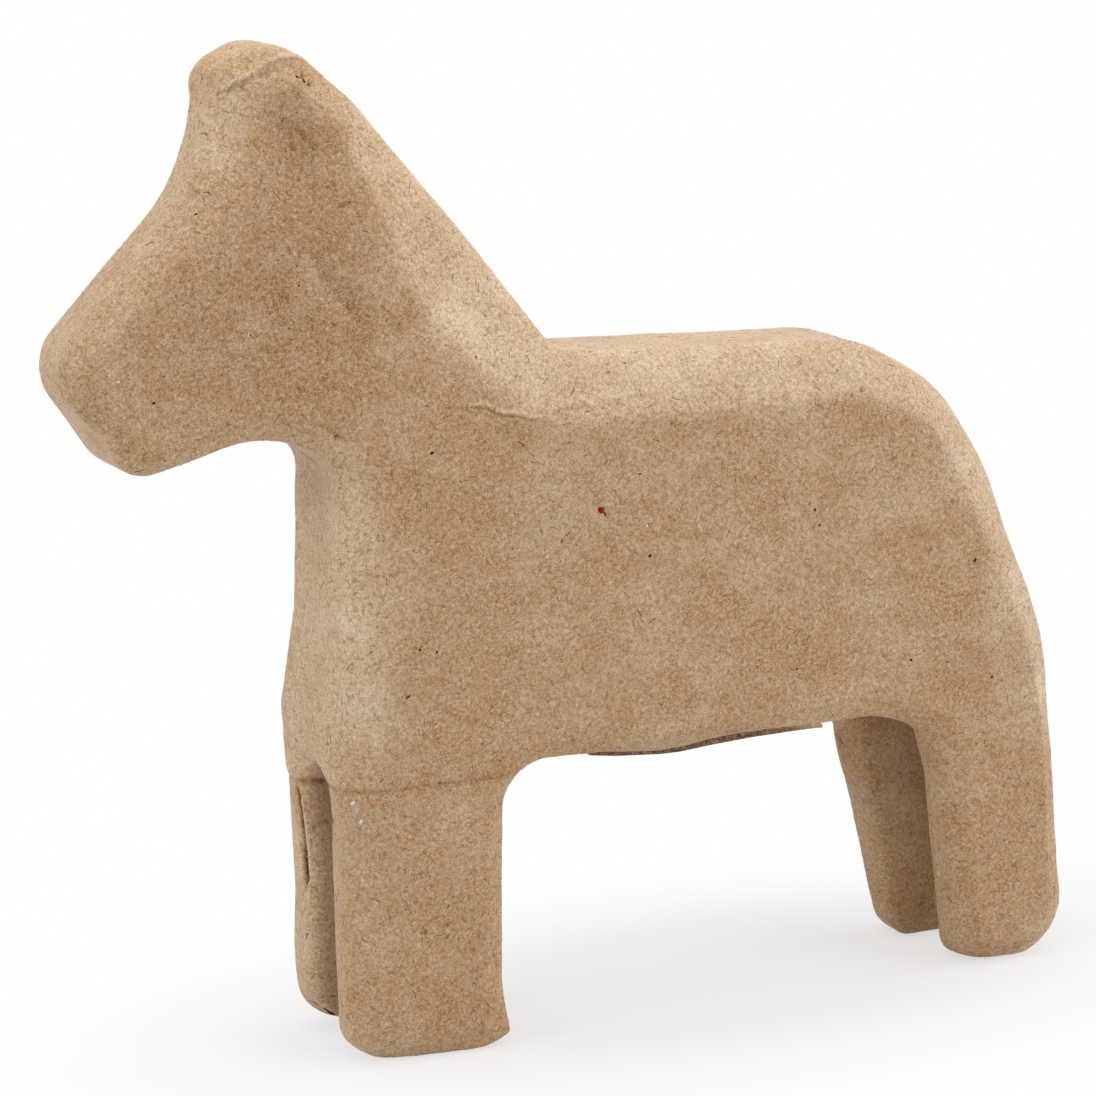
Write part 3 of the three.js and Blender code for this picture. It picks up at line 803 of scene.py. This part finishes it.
def seamMarks(points, normals, c):
    x, y, z = points.T
    wobble = sum(height * np.sin(x * along + y * across + phase) for along, across, phase, height in c["seamWaves"])
    gap = z - seamHeight(points) - c["seamWobble"] * wobble
    groove = bell(gap, c["seamWidth"])
    step = np.where(gap < 0, -1.0, 0.0) * np.exp(-np.abs(gap) / c["seamFade"])
    upright = (1 - np.abs(normals[:, 2])) * np.where(x < papers["between"], 1, c["hindSeam"])
    return (c["seamStep"] * step - c["seamDepth"] * groove) * upright, c["seamTone"] * groove * upright


# Each paper's painted light and shade, softened across the joints between papers
def paintedLightOfPapers(points, faces, zones):
    own = np.array([papers["tones"].get(name, 0) for name in zoneList])[zones]
    total = sum(np.bincount(faces[:, i], own, len(points)) for i in range(3))
    count = np.bincount(faces.ravel(), minlength=len(points))
    return smoothed((total / count)[:, None], skinSides, [1.0] * papers["toneBlend"])[:, 0]


seamPush, seamTone = seamMarks(skin, baseNormals, creases)
push += seamPush
# add the seam lines and each paper's painted light and shade
tone += seamTone + paintedLightOfPapers(skin, faces, zones)
print("creases pressed")


# Node helpers
def newTree(kind, name, inputs, outputs):
    tree = bpy.data.node_groups.new(name, kind)
    keys = {}
    for label, socketType, value in inputs:
        socket = tree.interface.new_socket(name=label, in_out="INPUT", socket_type=socketType)
        if value is not None:
            socket.default_value = value
        keys[label] = socket.identifier
    for label, socketType in outputs:
        tree.interface.new_socket(name=label, in_out="OUTPUT", socket_type=socketType)
    return tree, tree.nodes.new("NodeGroupInput").outputs, tree.nodes.new("NodeGroupOutput").inputs, keys


def put(tree, kind, settings, inputs):
    node = tree.nodes.new(kind)
    for key, value in settings.items():
        setattr(node, key, value)
    for key, value in inputs.items():
        if isinstance(value, bpy.types.NodeSocket):
            tree.links.new(value, node.inputs[key])
        else:
            node.inputs[key].default_value = value
    return node


def sums(tree, operation, a, b=0.0):
    return put(tree, "ShaderNodeMath", {"operation": operation}, {0: a, 1: b}).outputs[0]


def times(tree, a, b):
    return sums(tree, "MULTIPLY", a, b)


def plus(tree, a, b):
    return sums(tree, "ADD", a, b)


def blend(tree, factor, a, b):
    return put(tree, "ShaderNodeMix", {"data_type": "RGBA"}, {"Factor": factor, 6: a, 7: b}).outputs[2]


def vectorOf(tree, x=0.0, y=0.0, z=0.0):
    return put(tree, "ShaderNodeCombineXYZ", {}, {0: x, 1: y, 2: z}).outputs[0]


def arrows(tree, operation, a, b=None, scale=None):
    inputs = {0: a}
    if b is not None:
        inputs[1] = b
    if scale is not None:
        inputs["Scale"] = scale
    return put(tree, "ShaderNodeVectorMath", {"operation": operation}, inputs).outputs[0]


def shapeTree(name, numbers):
    inputs = [("Geometry", "NodeSocketGeometry", None), ("Material", "NodeSocketMaterial", None)]
    inputs += [(label, "NodeSocketInt" if isinstance(value, int) else "NodeSocketFloat", value)
               for label, value in numbers.items()]
    return newTree("GeometryNodeTree", name, inputs, [("Geometry", "NodeSocketGeometry")])


def finishShape(tree, geometry, given, result):
    real = put(tree, "GeometryNodeRealizeInstances", {}, {"Geometry": geometry}).outputs[0]
    done = put(tree, "GeometryNodeSetMaterial", {}, {"Geometry": real, "Material": given["Material"]}).outputs[0]
    tree.links.new(done, result[0])


# Unevenness of the moulded paper, along the skin's own normals
uneven = {"Swell": 0.00016, "Swell Size": 0.013, "Ripple": 0.00005, "Ripple Size": 0.0032,
          "Pulp": 0.000016, "Pulp Size": 0.0009, "Seed": 4.0}


def unevenTree():
    tree, given, result, keys = shapeTree("unevenPaper", uneven)
    place = put(tree, "GeometryNodeInputPosition", {}, {}).outputs[0]
    total = None
    for step, label in enumerate(("Swell", "Ripple", "Pulp")):
        scale = sums(tree, "DIVIDE", 1.0, given[label + " Size"])
        seed = plus(tree, given["Seed"], float(step * 7))
        noise = put(tree, "ShaderNodeTexNoise", {"noise_dimensions": "4D"},
                    {"Vector": place, "W": seed, "Scale": scale, "Detail": 2.0, "Roughness": 0.5}).outputs[0]
        part = times(tree, sums(tree, "SUBTRACT", noise, 0.5), given[label])
        part = times(tree, part, 4.0)  # the noise keeps within a quarter of its middle
        total = part if total is None else plus(tree, total, part)
    hold = put(tree, "GeometryNodeInputNamedAttribute", {"data_type": "FLOAT"}, {"Name": "give"}).outputs[0]
    total = times(tree, total, hold)
    normal = put(tree, "GeometryNodeInputNormal", {}, {}).outputs[0]
    offset = arrows(tree, "SCALE", normal, scale=total)
    moved = put(tree, "GeometryNodeSetPosition", {}, {"Geometry": given["Geometry"], "Offset": offset}).outputs[0]
    finishShape(tree, moved, given, result)
    return tree, keys


def runTree(source, tree, keys, values):
    modifier = source.modifiers.new(tree.name, "NODES")
    modifier.node_group = tree
    for label, value in values.items():
        modifier[keys[label]] = value
    mesh = bakedMesh(source)
    source.modifiers.remove(modifier)
    return mesh


def addNumbers(mesh, name, kind, domain, values, field="value"):
    layer = mesh.attributes.new(name, kind, domain)
    layer.data.foreach_set(field, np.asarray(values).ravel())


paperMaterial = bpy.data.materials.new("brownPaper")
skin = skin + baseNormals * push[:, None]
skin[:, 2] = np.maximum(skin[:, 2], 0)
smoothMesh = meshOf("smoothSkin", skin * mm, faces)
addNumbers(smoothMesh, "give", "FLOAT", "POINT", np.clip((skin[:, 2] - 0.2) / 1.5, 0, 1))  # the soles stay flat
smoothMesh.polygons.foreach_set("use_smooth", np.ones(len(faces), bool))
skinObject = linked("smoothSkin", smoothMesh)
tree, keys = unevenTree()
unevenMesh = runTree(skinObject, tree, keys, dict(uneven, Material=paperMaterial))
skin = cornersOf(unevenMesh)[0] / mm
normals = normalsOf(skin, faces)
print("paper made uneven")

# Fibres lying in the paper
fibre = {"Density": 90000.0, "Length": 0.0010, "Thickness": 0.000045, "Bend": 0.00012, "Seed": 11}
fibreTints = {"dark": (0.13, 0.06, 0.02, 1), "brown": (0.24, 0.13, 0.05, 1), "pale": (0.60, 0.47, 0.30, 1)}
darkBelow, paleAbove = 0.3, 0.72  # shares of the fibres


def fibreTree():
    tree, given, result, keys = shapeTree("scatteredFibres", fibre)
    spread = put(tree, "GeometryNodeDistributePointsOnFaces", {"distribute_method": "RANDOM"},
                 {"Mesh": given["Geometry"], "Density": given["Density"], "Seed": given["Seed"]})
    start, end = (vectorOf(tree, times(tree, given["Length"], share)) for share in (-0.5, 0.5))
    middle = vectorOf(tree, y=given["Bend"])
    path = put(tree, "GeometryNodeCurveQuadraticBezier", {},
               {"Resolution": 4, "Start": start, "Middle": middle, "End": end}).outputs[0]
    ring = put(tree, "GeometryNodeCurvePrimitiveCircle", {},
               {"Resolution": 3, "Radius": given["Thickness"]}).outputs[0]
    strand = put(tree, "GeometryNodeCurveToMesh", {},
                 {"Curve": path, "Profile Curve": ring, "Fill Caps": True}).outputs[0]
    seeds = [given["Seed"], plus(tree, given["Seed"], 1.0), plus(tree, given["Seed"], 2.0)]
    spin, draw = (put(tree, "FunctionNodeRandomValue", {"data_type": "FLOAT"},
                      {2: 0.0, 3: most, "Seed": seed}).outputs[1] for most, seed in ((6.283, seeds[0]), (1.0, seeds[2])))
    size = put(tree, "FunctionNodeRandomValue", {"data_type": "FLOAT_VECTOR"},
               {0: (0.35, -1.6, 0.5), 1: (1.25, 1.6, 1.0), "Seed": seeds[1]}).outputs[0]
    facing = put(tree, "FunctionNodeRotateRotation", {"rotation_space": "LOCAL"},
                 {"Rotation": spread.outputs["Rotation"], "Rotate By": vectorOf(tree, z=spin)}).outputs[0]
    placed = put(tree, "GeometryNodeInstanceOnPoints", {},
                 {"Points": spread.outputs["Points"], "Instance": strand, "Rotation": facing,
                  "Scale": size}).outputs[0]
    tint = blend(tree, sums(tree, "LESS_THAN", draw, darkBelow), fibreTints["brown"], fibreTints["dark"])
    tint = blend(tree, sums(tree, "GREATER_THAN", draw, paleAbove), tint, fibreTints["pale"])
    stored = put(tree, "GeometryNodeStoreNamedAttribute", {"data_type": "FLOAT_COLOR", "domain": "INSTANCE"},
                 {"Geometry": placed, "Name": "fleck", "Value": tint}).outputs[0]
    finishShape(tree, stored, given, result)
    return tree, keys


tree, keys = fibreTree()
unevenObject = linked("unevenSkin", unevenMesh)
fibreMesh = runTree(unevenObject, tree, keys, dict(fibre, Material=paperMaterial))
for old in (skinObject, unevenObject):
    bpy.data.objects.remove(old)


def fibreParts(mesh):
    points, loops = cornersOf(mesh)
    counts = np.empty(len(mesh.polygons), np.int32)
    mesh.polygons.foreach_get("loop_total", counts)
    colours = np.empty(len(mesh.vertices) * 4)
    mesh.attributes["fleck"].data.foreach_get("color", colours)
    return points / mm, np.split(loops, np.cumsum(counts)[:-1]), colours.reshape(-1, 4)


fibrePoints, fibreFaces, fibreColours = fibreParts(fibreMesh)
strandSize = 15  # points in one strand
finalTree = treeOf(skin, faces)


# Small things added to a paper: points, faces and colour
def strandsByZone():
    byZone = {}
    count = len(fibrePoints) // strandSize
    facesEach = len(fibreFaces) // count
    centres = fibrePoints.reshape(count, strandSize, 3).mean(1)
    for i in range(count):
        face = finalTree.find_nearest(Vector(centres[i]))[2]
        own = slice(i * strandSize, (i + 1) * strandSize)
        local = [f - i * strandSize for f in fibreFaces[i * facesEach:(i + 1) * facesEach]]
        byZone.setdefault(zones[face], []).append((fibrePoints[own], local, fibreColours[own], 0))
    print("fibres:", count)
    return byZone


extras = strandsByZone()


def onPlane(pixels, depth):
    rays = raysThrough(pixels)
    return eye + rays * ((depth - eye[1]) / rays[:, 1])[:, None]


def looseSheet(e):
    columns, rows = e["columns"], e["rows"]
    known = np.arange(len(e["upper"]))
    at = np.linspace(0, known[-1], columns)
    tones = np.interp(at, known, e["tone"])
    edges = []
    for key in ("upper", "lower"):
        lines = np.array(e[key], float).T
        edges.append(onPlane(np.stack([np.interp(at, known, line) for line in lines], 1), e[key + "Depth"]))
    share = np.linspace(0, 1, rows)[:, None, None]
    front = (edges[0] * (1 - share) + edges[1] * share).reshape(-1, 3)
    points = np.concatenate([front, front + [0, e["thickness"], 0]])
    size, shell = rows * columns, []
    for r in range(rows - 1):
        for c in range(columns - 1):
            a = r * columns + c
            quad = np.array([a, a + columns, a + columns + 1, a + 1])
            shell += [quad, quad[::-1] + size]
    around = list(range(columns)) + [r * columns + columns - 1 for r in range(1, rows)]
    around += [(rows - 1) * columns + c for c in range(columns - 2, -1, -1)]
    around += [r * columns for r in range(rows - 2, 0, -1)]
    for a, b in zip(around, around[1:] + around[:1]):
        shell.append(np.array([a, b, b + size, a + size]))
    return points, shell, np.zeros((len(points), 4)), np.tile(tones, rows * 2)


# the loose sheet under the belly, its shade painted dark
extras[zoneList.index("belly_paper")].append(looseSheet(looseEdge))


def ball():
    work = bmesh.new()
    bmesh.ops.create_icosphere(work, subdivisions=1, radius=1)
    points = np.array([v.co for v in work.verts])
    shell = [np.array([v.index for v in f.verts]) for f in work.faces]
    work.free()
    return points, shell


ballPoints, ballFaces = ball()
fleckDepth, fleckLumps = 0.07, (0.8, 1.15)
generator = np.random.default_rng(5)


def addFlecks():
    for x, y, length, width, turn, tint in flecks:
        hits = castPixels(finalTree, [(x, y)])
        if not hits:
            print("no skin at", x, y)
            continue
        place, normal, face = hits[0]
        angle = math.radians(turn)
        along = eyeRight * math.cos(angle) + eyeUp * math.sin(angle)
        along = unit(along - normal * (along @ normal))
        across = np.cross(normal, along)
        lumps = ballPoints * generator.uniform(*fleckLumps, (len(ballPoints), 1))
        points = place + (lumps[:, :1] * along * length / 2 + lumps[:, 1:2] * across * width / 2
                          + lumps[:, 2:] * normal * fleckDepth)
        colour = np.tile(fleckTints[tint] + (1.0,), (len(points), 1))
        extras.setdefault(zones[face], []).append((points, ballFaces, colour, 0))


addFlecks()

# Each paper as a closed sheet: the skin outside, and the same skin moved in by the paper's thickness
inner = skin - unit(smoothed(normals, skinSides, [1.0] * 4)) * papers["thickness"]


def sheetParts(faces):
    corners = faces.shape[1]
    used, local = np.unique(faces, return_inverse=True)
    local, count = local.reshape(faces.shape), len(used)
    sides = np.concatenate([local[:, [i, (i + 1) % corners]] for i in range(corners)])
    key = sides.min(1) * (count + 1) + sides.max(1)
    firstAt, uses = np.unique(key, return_index=True, return_counts=True)[1:]
    border = sides[firstAt[uses == 1]]
    return used, local, np.stack([border[:, 1], border[:, 0], border[:, 0] + count, border[:, 1] + count], 1)


def paperPiece(name, zone):
    used, local, rim = sheetParts(faces[zones == zone])
    count = len(used)
    points = [skin[used], inner[used]]
    loops = [local.ravel(), (local[:, ::-1] + count).ravel(), rim.ravel()]
    counts = [np.full(2 * len(local), 3), np.full(len(rim), 4)]
    colours, tones = [np.zeros((2 * count, 4))], [tone[used], np.zeros(count)]
    total = 2 * count
    for partPoints, partFaces, partColours, partTones in extras.get(zone, []):
        points.append(partPoints)
        colours.append(partColours)
        tones.append(np.broadcast_to(partTones, len(partPoints)))
        loops += [f + total for f in partFaces]
        counts.append([len(f) for f in partFaces])
        total += len(partPoints)
    points, loops, counts = np.concatenate(points), np.concatenate(loops), np.concatenate(counts)
    mesh = bpy.data.meshes.new(name)
    mesh.vertices.add(len(points))
    mesh.vertices.foreach_set("co", toFrame(points).ravel())
    mesh.loops.add(len(loops))
    mesh.loops.foreach_set("vertex_index", loops.astype(np.int32))
    mesh.polygons.add(len(counts))
    mesh.polygons.foreach_set("loop_start", (np.cumsum(counts) - counts).astype(np.int32))
    mesh.polygons.foreach_set("use_smooth", np.ones(len(counts), bool))
    mesh.update(calc_edges=True)
    addNumbers(mesh, "fleck", "FLOAT_COLOR", "POINT", np.concatenate(colours), "color")
    # tone: painted light and shade, with real dark spots and seam lines
    addNumbers(mesh, "tone", "FLOAT", "POINT", np.concatenate(tones))
    loopNormals = np.zeros((len(loops), 3))
    loopNormals[:local.size] = normals[used][local.ravel()]
    mesh.normals_split_custom_set(loopNormals)
    mesh.materials.append(paperMaterial)
    return linked(name, mesh)


for zone, node in enumerate(zoneList):
    piece = paperPiece(node + "_skin", zone)
    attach(piece, "root")
    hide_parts(node)
    print(node, sum(len(p.vertices) - 2 for p in piece.data.polygons), "triangles")


# The grey boards under the papers: two halves of the body and four leg tubes
boards = {"voxel": 1.3, "rounding": 4, "outer": 1.2, "inner": 2.3}  # the last two are depths under the skin
boardMaterial = bpy.data.materials.new("greyBoard")


def boardMesh(name, outside, underside, faces):
    used, local, rim = sheetParts(faces)
    points = np.concatenate([outside[used], underside[used]])
    return meshOf(name, toFrame(points), np.concatenate([local, local[:, ::-1] + len(used), rim]).tolist())


def makeBoards(b):
    points, faces = makeSkin(b["voxel"])
    points = smoothed(points, sidesOf(faces), roundingPass * b["rounding"])
    inward = normalsOf(points, faces)
    outside, underside = points - inward * b["outer"], points - inward * b["inner"]
    centres = points[faces].mean(1)
    low = centres[:, 2] < seamHeight(centres)
    right = centres[:, 1] >= 0
    leg = legOf(centres)
    picks = {"shell_left": ~low & ~right, "shell_right": ~low & right}
    picks.update({"leg_tube_" + name: low & (leg == i) for i, name in enumerate(legNames)})
    for node, pick in picks.items():
        board = linked(node + "_board", boardMesh(node + "_board", outside, underside, faces[pick]))
        board.data.materials.append(boardMaterial)
        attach(board, "root")
        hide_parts(node)
        print(node, len(board.data.polygons) * 2, "triangles")


makeBoards(boards)

# Materials
paper = {
    "base": (0.528, 0.352, 0.194),
    "warm": (0.43, 0.235, 0.09),
    "cool": (0.52, 0.38, 0.24),
    "rust": (0.26, 0.125, 0.04),
    "dark": (0.075, 0.032, 0.01),
    # pale: what painted light blends towards, and the colour of the pale fibres
    "pale": (0.68, 0.60, 0.47),
    # deep: what painted shade and the real dark spots blend towards
    "deep": (0.22, 0.095, 0.018),
    "shadeTint": (0.38, 0.33, 0.26),  # what a full step of shade adds
    "least": (0.02, 0.012, 0.006),
    "paintedLightGain": 1.4,  # how much the strongest painted light brightens the base
    "roughness": 0.6,
    "specular": 0.25,
    "sheen": 0.12,
    "sheenRoughness": 0.5,
    "bump": 0.9,
    "grainDepth": 0.07,
    "fineHeight": 0.5,
    "fibreHeight": 0.25,
    "clouding": [  # noise, where it starts and ends, the most it does, and to which colour
        ("patch", 0.45, 0.68, 0.75, "warm"), ("cloud", 0.48, 0.70, 0.55, "warm"), ("broad", 0.45, 0.7, 0.6, "cool"),
    ],
    # tone above zero is painted light, blended to pale; below zero painted shade, blended to deep and then dark
    "toneTints": [(0.0, 1.0, "pale"), (0.0, -1.0, "deep"), (-0.7, -1.7, "dark")],
    "noises": {  # scale, detail, roughness, and how strongly each shades the paper
        "fine": (5200, 2, 0.6, 0.40),
        "grain": (2100, 2, 0.6, 0.26),
        "patch": (760, 3, 0.55, 0.18),
        "broad": (130, 2, 0.5, 0.08),
        "cloud": (270, 3, 0.6, 0),
    },
    "marks": {  # spacing in metres, size, share kept, shift, strength, colour
        "brownFibre": (0.0010, 0.045, 0.60, 0, 0.40, "rust"),
        "longFibre": (0.0017, 0.030, 0.55, 5, 0.38, "rust"),
        "bitDot": (0.0013, 0.12, 0.45, 0, 0.55, "rust"),
        "paleFibre": (0.0009, 0.045, 0.50, 21, 0.34, "pale"),
        "darkFibre": (0.0016, 0.025, 0.45, 9, 0.27, "dark"),
        "speckDot": (0.0026, 0.06, 0.60, 0, 0.75, "dark"),
    },
}


def noiseOf(tree, vector, scale, detail=2.0, rough=0.5, shift=None):
    inputs = {"Vector": vector, "Scale": scale, "Detail": detail, "Roughness": rough}
    if shift is not None:
        inputs["W"] = shift
    kind = "3D" if shift is None else "4D"
    return put(tree, "ShaderNodeTexNoise", {"noise_dimensions": kind}, inputs).outputs[0]


def ramp(tree, value, low, high, toLow=0.0, toHigh=1.0):
    return put(tree, "ShaderNodeMapRange", {}, {0: value, 1: low, 2: high, 3: toLow, 4: toHigh}).outputs[0]


def fineFibreGroup():
    tree, given, result, keys = newTree(
        "ShaderNodeTree", "fineFibres",
        [("Vector", "NodeSocketVector", None), ("Spacing", "NodeSocketFloat", 0.0012),
         ("Size", "NodeSocketFloat", 0.03), ("Amount", "NodeSocketFloat", 0.45),
         ("Shift", "NodeSocketFloat", 0.0)],
        [("Mask", "NodeSocketFloat")])
    scale = sums(tree, "DIVIDE", 1.0, given["Spacing"])
    line = noiseOf(tree, given["Vector"], scale, 1.0, 0.4, given["Shift"])
    gap = sums(tree, "ABSOLUTE", sums(tree, "SUBTRACT", line, 0.5))
    thin = ramp(tree, gap, given["Size"], 0.0)
    cut = noiseOf(tree, given["Vector"], times(tree, scale, 1.9), 0.0, 0.5,
                  plus(tree, given["Shift"], 3.7))
    low = sums(tree, "SUBTRACT", 1.0, given["Amount"])
    keep = ramp(tree, cut, low, plus(tree, low, 0.06))
    tree.links.new(times(tree, thin, keep), result[0])
    return tree


def speckGroup():
    tree, given, result, keys = newTree(
        "ShaderNodeTree", "speckles",
        [("Vector", "NodeSocketVector", None), ("Spacing", "NodeSocketFloat", 0.003),
         ("Size", "NodeSocketFloat", 0.06), ("Amount", "NodeSocketFloat", 0.5)],
        [("Mask", "NodeSocketFloat")])
    scale = sums(tree, "DIVIDE", 1.0, given["Spacing"])
    bent = noiseOf(tree, given["Vector"], times(tree, scale, 6.0), 1.0)
    shift = vectorOf(tree, bent, bent, bent)
    moved = arrows(tree, "ADD", given["Vector"],
                   arrows(tree, "SCALE", shift, scale=times(tree, given["Spacing"], 0.10)))
    cells = put(tree, "ShaderNodeTexVoronoi", {"feature": "F1"}, {"Vector": moved, "Scale": scale})
    parts = put(tree, "ShaderNodeSeparateColor", {}, {0: cells.outputs["Color"]}).outputs
    radius = times(tree, given["Size"], plus(tree, parts[1], 0.4))
    dot = ramp(tree, cells.outputs["Distance"], radius, times(tree, radius, 0.6))
    keep = sums(tree, "LESS_THAN", parts[0], given["Amount"])
    tree.links.new(times(tree, dot, keep), result[0])
    return tree


fibreGroup, dotGroup = fineFibreGroup(), speckGroup()


def paintPaper(material, p):
    material.use_nodes = True
    tree = material.node_tree
    shader = tree.nodes["Principled BSDF"]
    vector = put(tree, "ShaderNodeTexCoord", {}, {}).outputs["Object"]
    noises = {key: noiseOf(tree, vector, *values[:3]) for key, values in p["noises"].items()}
    colours = {key: tuple(value) + (1,) for key, value in p.items() if isinstance(value, tuple)}
    colour = colours["base"]
    for key, low, high, most, tint in p["clouding"]:
        colour = blend(tree, ramp(tree, noises[key], low, high, 0.0, most), colour, colours[tint])
    # The tone attribute holds painted light above zero and painted shade below zero, besides real dark spots and
    # seam lines
    toneIn = put(tree, "ShaderNodeAttribute", {"attribute_name": "tone"}, {}).outputs["Fac"]
    for low, high, tint in p["toneTints"]:
        colour = blend(tree, ramp(tree, toneIn, low, high), colour, colours[tint])
    masks = {}
    for key, (spacing, size, amount, shift, strength, tint) in p["marks"].items():
        inputs = {"Vector": vector, "Spacing": spacing, "Size": size, "Amount": amount}
        group = dotGroup
        if key.endswith("Fibre"):
            group, inputs["Shift"] = fibreGroup, shift
        masks[key] = put(tree, "ShaderNodeGroup", {"node_tree": group}, inputs).outputs[0]
        colour = blend(tree, times(tree, masks[key], strength), colour, colours[tint])
    shade = 0.0
    for key in ("fine", "grain", "patch", "broad"):
        strength = p["noises"][key][3]
        shade = plus(tree, shade, ramp(tree, noises[key], 0.25, 0.75, -strength, strength))
    colour = arrows(tree, "ADD", colour, arrows(tree, "SCALE", p["shadeTint"], scale=shade))
    colour = arrows(tree, "SCALE", colour, scale=ramp(tree, toneIn, 0.0, 1.0, 1.0, p["paintedLightGain"]))
    colour = arrows(tree, "MAXIMUM", colour, p["least"])
    fleck = put(tree, "ShaderNodeAttribute", {"attribute_name": "fleck"}, {}).outputs
    colour = blend(tree, fleck["Alpha"], colour, fleck["Color"])
    tree.links.new(colour, shader.inputs["Base Color"])
    tree.links.new(ramp(tree, fleck["Alpha"], 0.0, 1.0, p["roughness"], 1.0), shader.inputs["Roughness"])
    shader.inputs["Specular IOR Level"].default_value = p["specular"]
    shader.inputs["Sheen Weight"].default_value = p["sheen"]
    shader.inputs["Sheen Roughness"].default_value = p["sheenRoughness"]
    height = plus(tree, times(tree, noises["fine"], p["fineHeight"]), noises["grain"])
    height = plus(tree, height, times(tree, masks["paleFibre"], p["fibreHeight"]))
    bump = put(tree, "ShaderNodeBump", {},
               {"Height": height, "Strength": p["bump"], "Distance": p["grainDepth"] * mm})
    tree.links.new(bump.outputs[0], shader.inputs["Normal"])


paintPaper(paperMaterial, paper)

board = dict(paper, base=(0.27, 0.235, 0.185), warm=(0.24, 0.19, 0.13), cool=(0.30, 0.27, 0.22),
             shadeTint=(0.2, 0.18, 0.15), sheen=0.1)
paintPaper(boardMaterial, board)
print("materials painted")

# Studio: a pale floor, soft light from above and both sides
studio = {
    "floor": 0.9,
    "floorReach": 3,
    "floorRoughness": 0.9,
    "shadowReach": (24, 85),  # millimetres; the shadow fades out between these
    "shadowDepth": 0.4,
    "shadowShift": (-0.02, 0, 0),
    "shadowShape": (0.75, 1.6, 1),
    "ambient": 0.3,
    "lamps": {
        "leftSoftbox": ((-900, -60, 250), (0, 0, 60), 600, 3.2),
        "rightSoftbox": ((900, -60, 250), (0, 0, 60), 600, 2.45),
        "frontSoftbox": ((650, -700, 350), (0, 0, 60), 600, 2.95),
        "topSoftbox": ((0, 0, 260), (0, 0, 60), 300, 0.4),
    },
}


def seenRays(tree):
    path = put(tree, "ShaderNodeLightPath", {}, {}).outputs
    seen = sums(tree, "MAXIMUM", path["Is Camera Ray"], path["Is Glossy Ray"])
    return sums(tree, "MAXIMUM", seen, path["Is Transmission Ray"])


def makeStudio(s):
    far = s["floorReach"]
    floor = linked("floor", meshOf("floor", [(-far, -far, 0), (far, -far, 0), (far, far, 0), (-far, far, 0)],
                                   [(0, 1, 2, 3)]))
    material = bpy.data.materials.new("paleFloor")
    material.use_nodes = True
    shader = material.node_tree.nodes["Principled BSDF"]
    shader.inputs["Base Color"].default_value = (s["floor"],) * 3 + (1,)
    shader.inputs["Roughness"].default_value = s["floorRoughness"]
    floor.data.materials.append(material)
    tree = material.node_tree
    place = put(tree, "ShaderNodeTexCoord", {}, {}).outputs["Object"]
    place = arrows(tree, "MULTIPLY", arrows(tree, "ADD", place, s["shadowShift"]), s["shadowShape"])
    distance = put(tree, "ShaderNodeVectorMath", {"operation": "LENGTH"}, {0: place}).outputs["Value"]
    near, far = (reach * mm for reach in s["shadowReach"])
    plain = put(tree, "ShaderNodeMapRange", {"interpolation_type": "SMOOTHSTEP"},
                {0: distance, 1: near, 2: far, 3: 1 - s["shadowDepth"], 4: 1.0}).outputs[0]
    white = put(tree, "ShaderNodeEmission", {}, {"Color": (1, 1, 1, 1), "Strength": 1.0}).outputs[0]
    mixed = put(tree, "ShaderNodeMixShader", {}, {0: times(tree, plain, seenRays(tree)),
                                                  1: shader.outputs[0], 2: white}).outputs[0]
    tree.links.new(mixed, tree.nodes["Material Output"].inputs["Surface"])
    world = bpy.data.worlds.new("studio")
    bpy.context.scene.world = world
    world.use_nodes = True
    tree = world.node_tree
    back = tree.nodes["Background"]
    back.inputs["Color"].default_value = (1, 1, 1, 1)
    tree.links.new(ramp(tree, seenRays(tree), 0.0, 1.0, s["ambient"], 1.0), back.inputs["Strength"])
    for name, (place, target, size, power) in s["lamps"].items():
        data = bpy.data.lights.new(name, "AREA")
        data.size = size * mm
        data.energy = power
        lamp = linked(name, data)
        lamp.location = Vector(place) * mm
        lamp.rotation_euler = (Vector(target) - Vector(place)).to_track_quat("-Z", "Y").to_euler()


makeStudio(studio)
bpy.context.scene.view_settings.view_transform = "Standard"
print("studio ready")
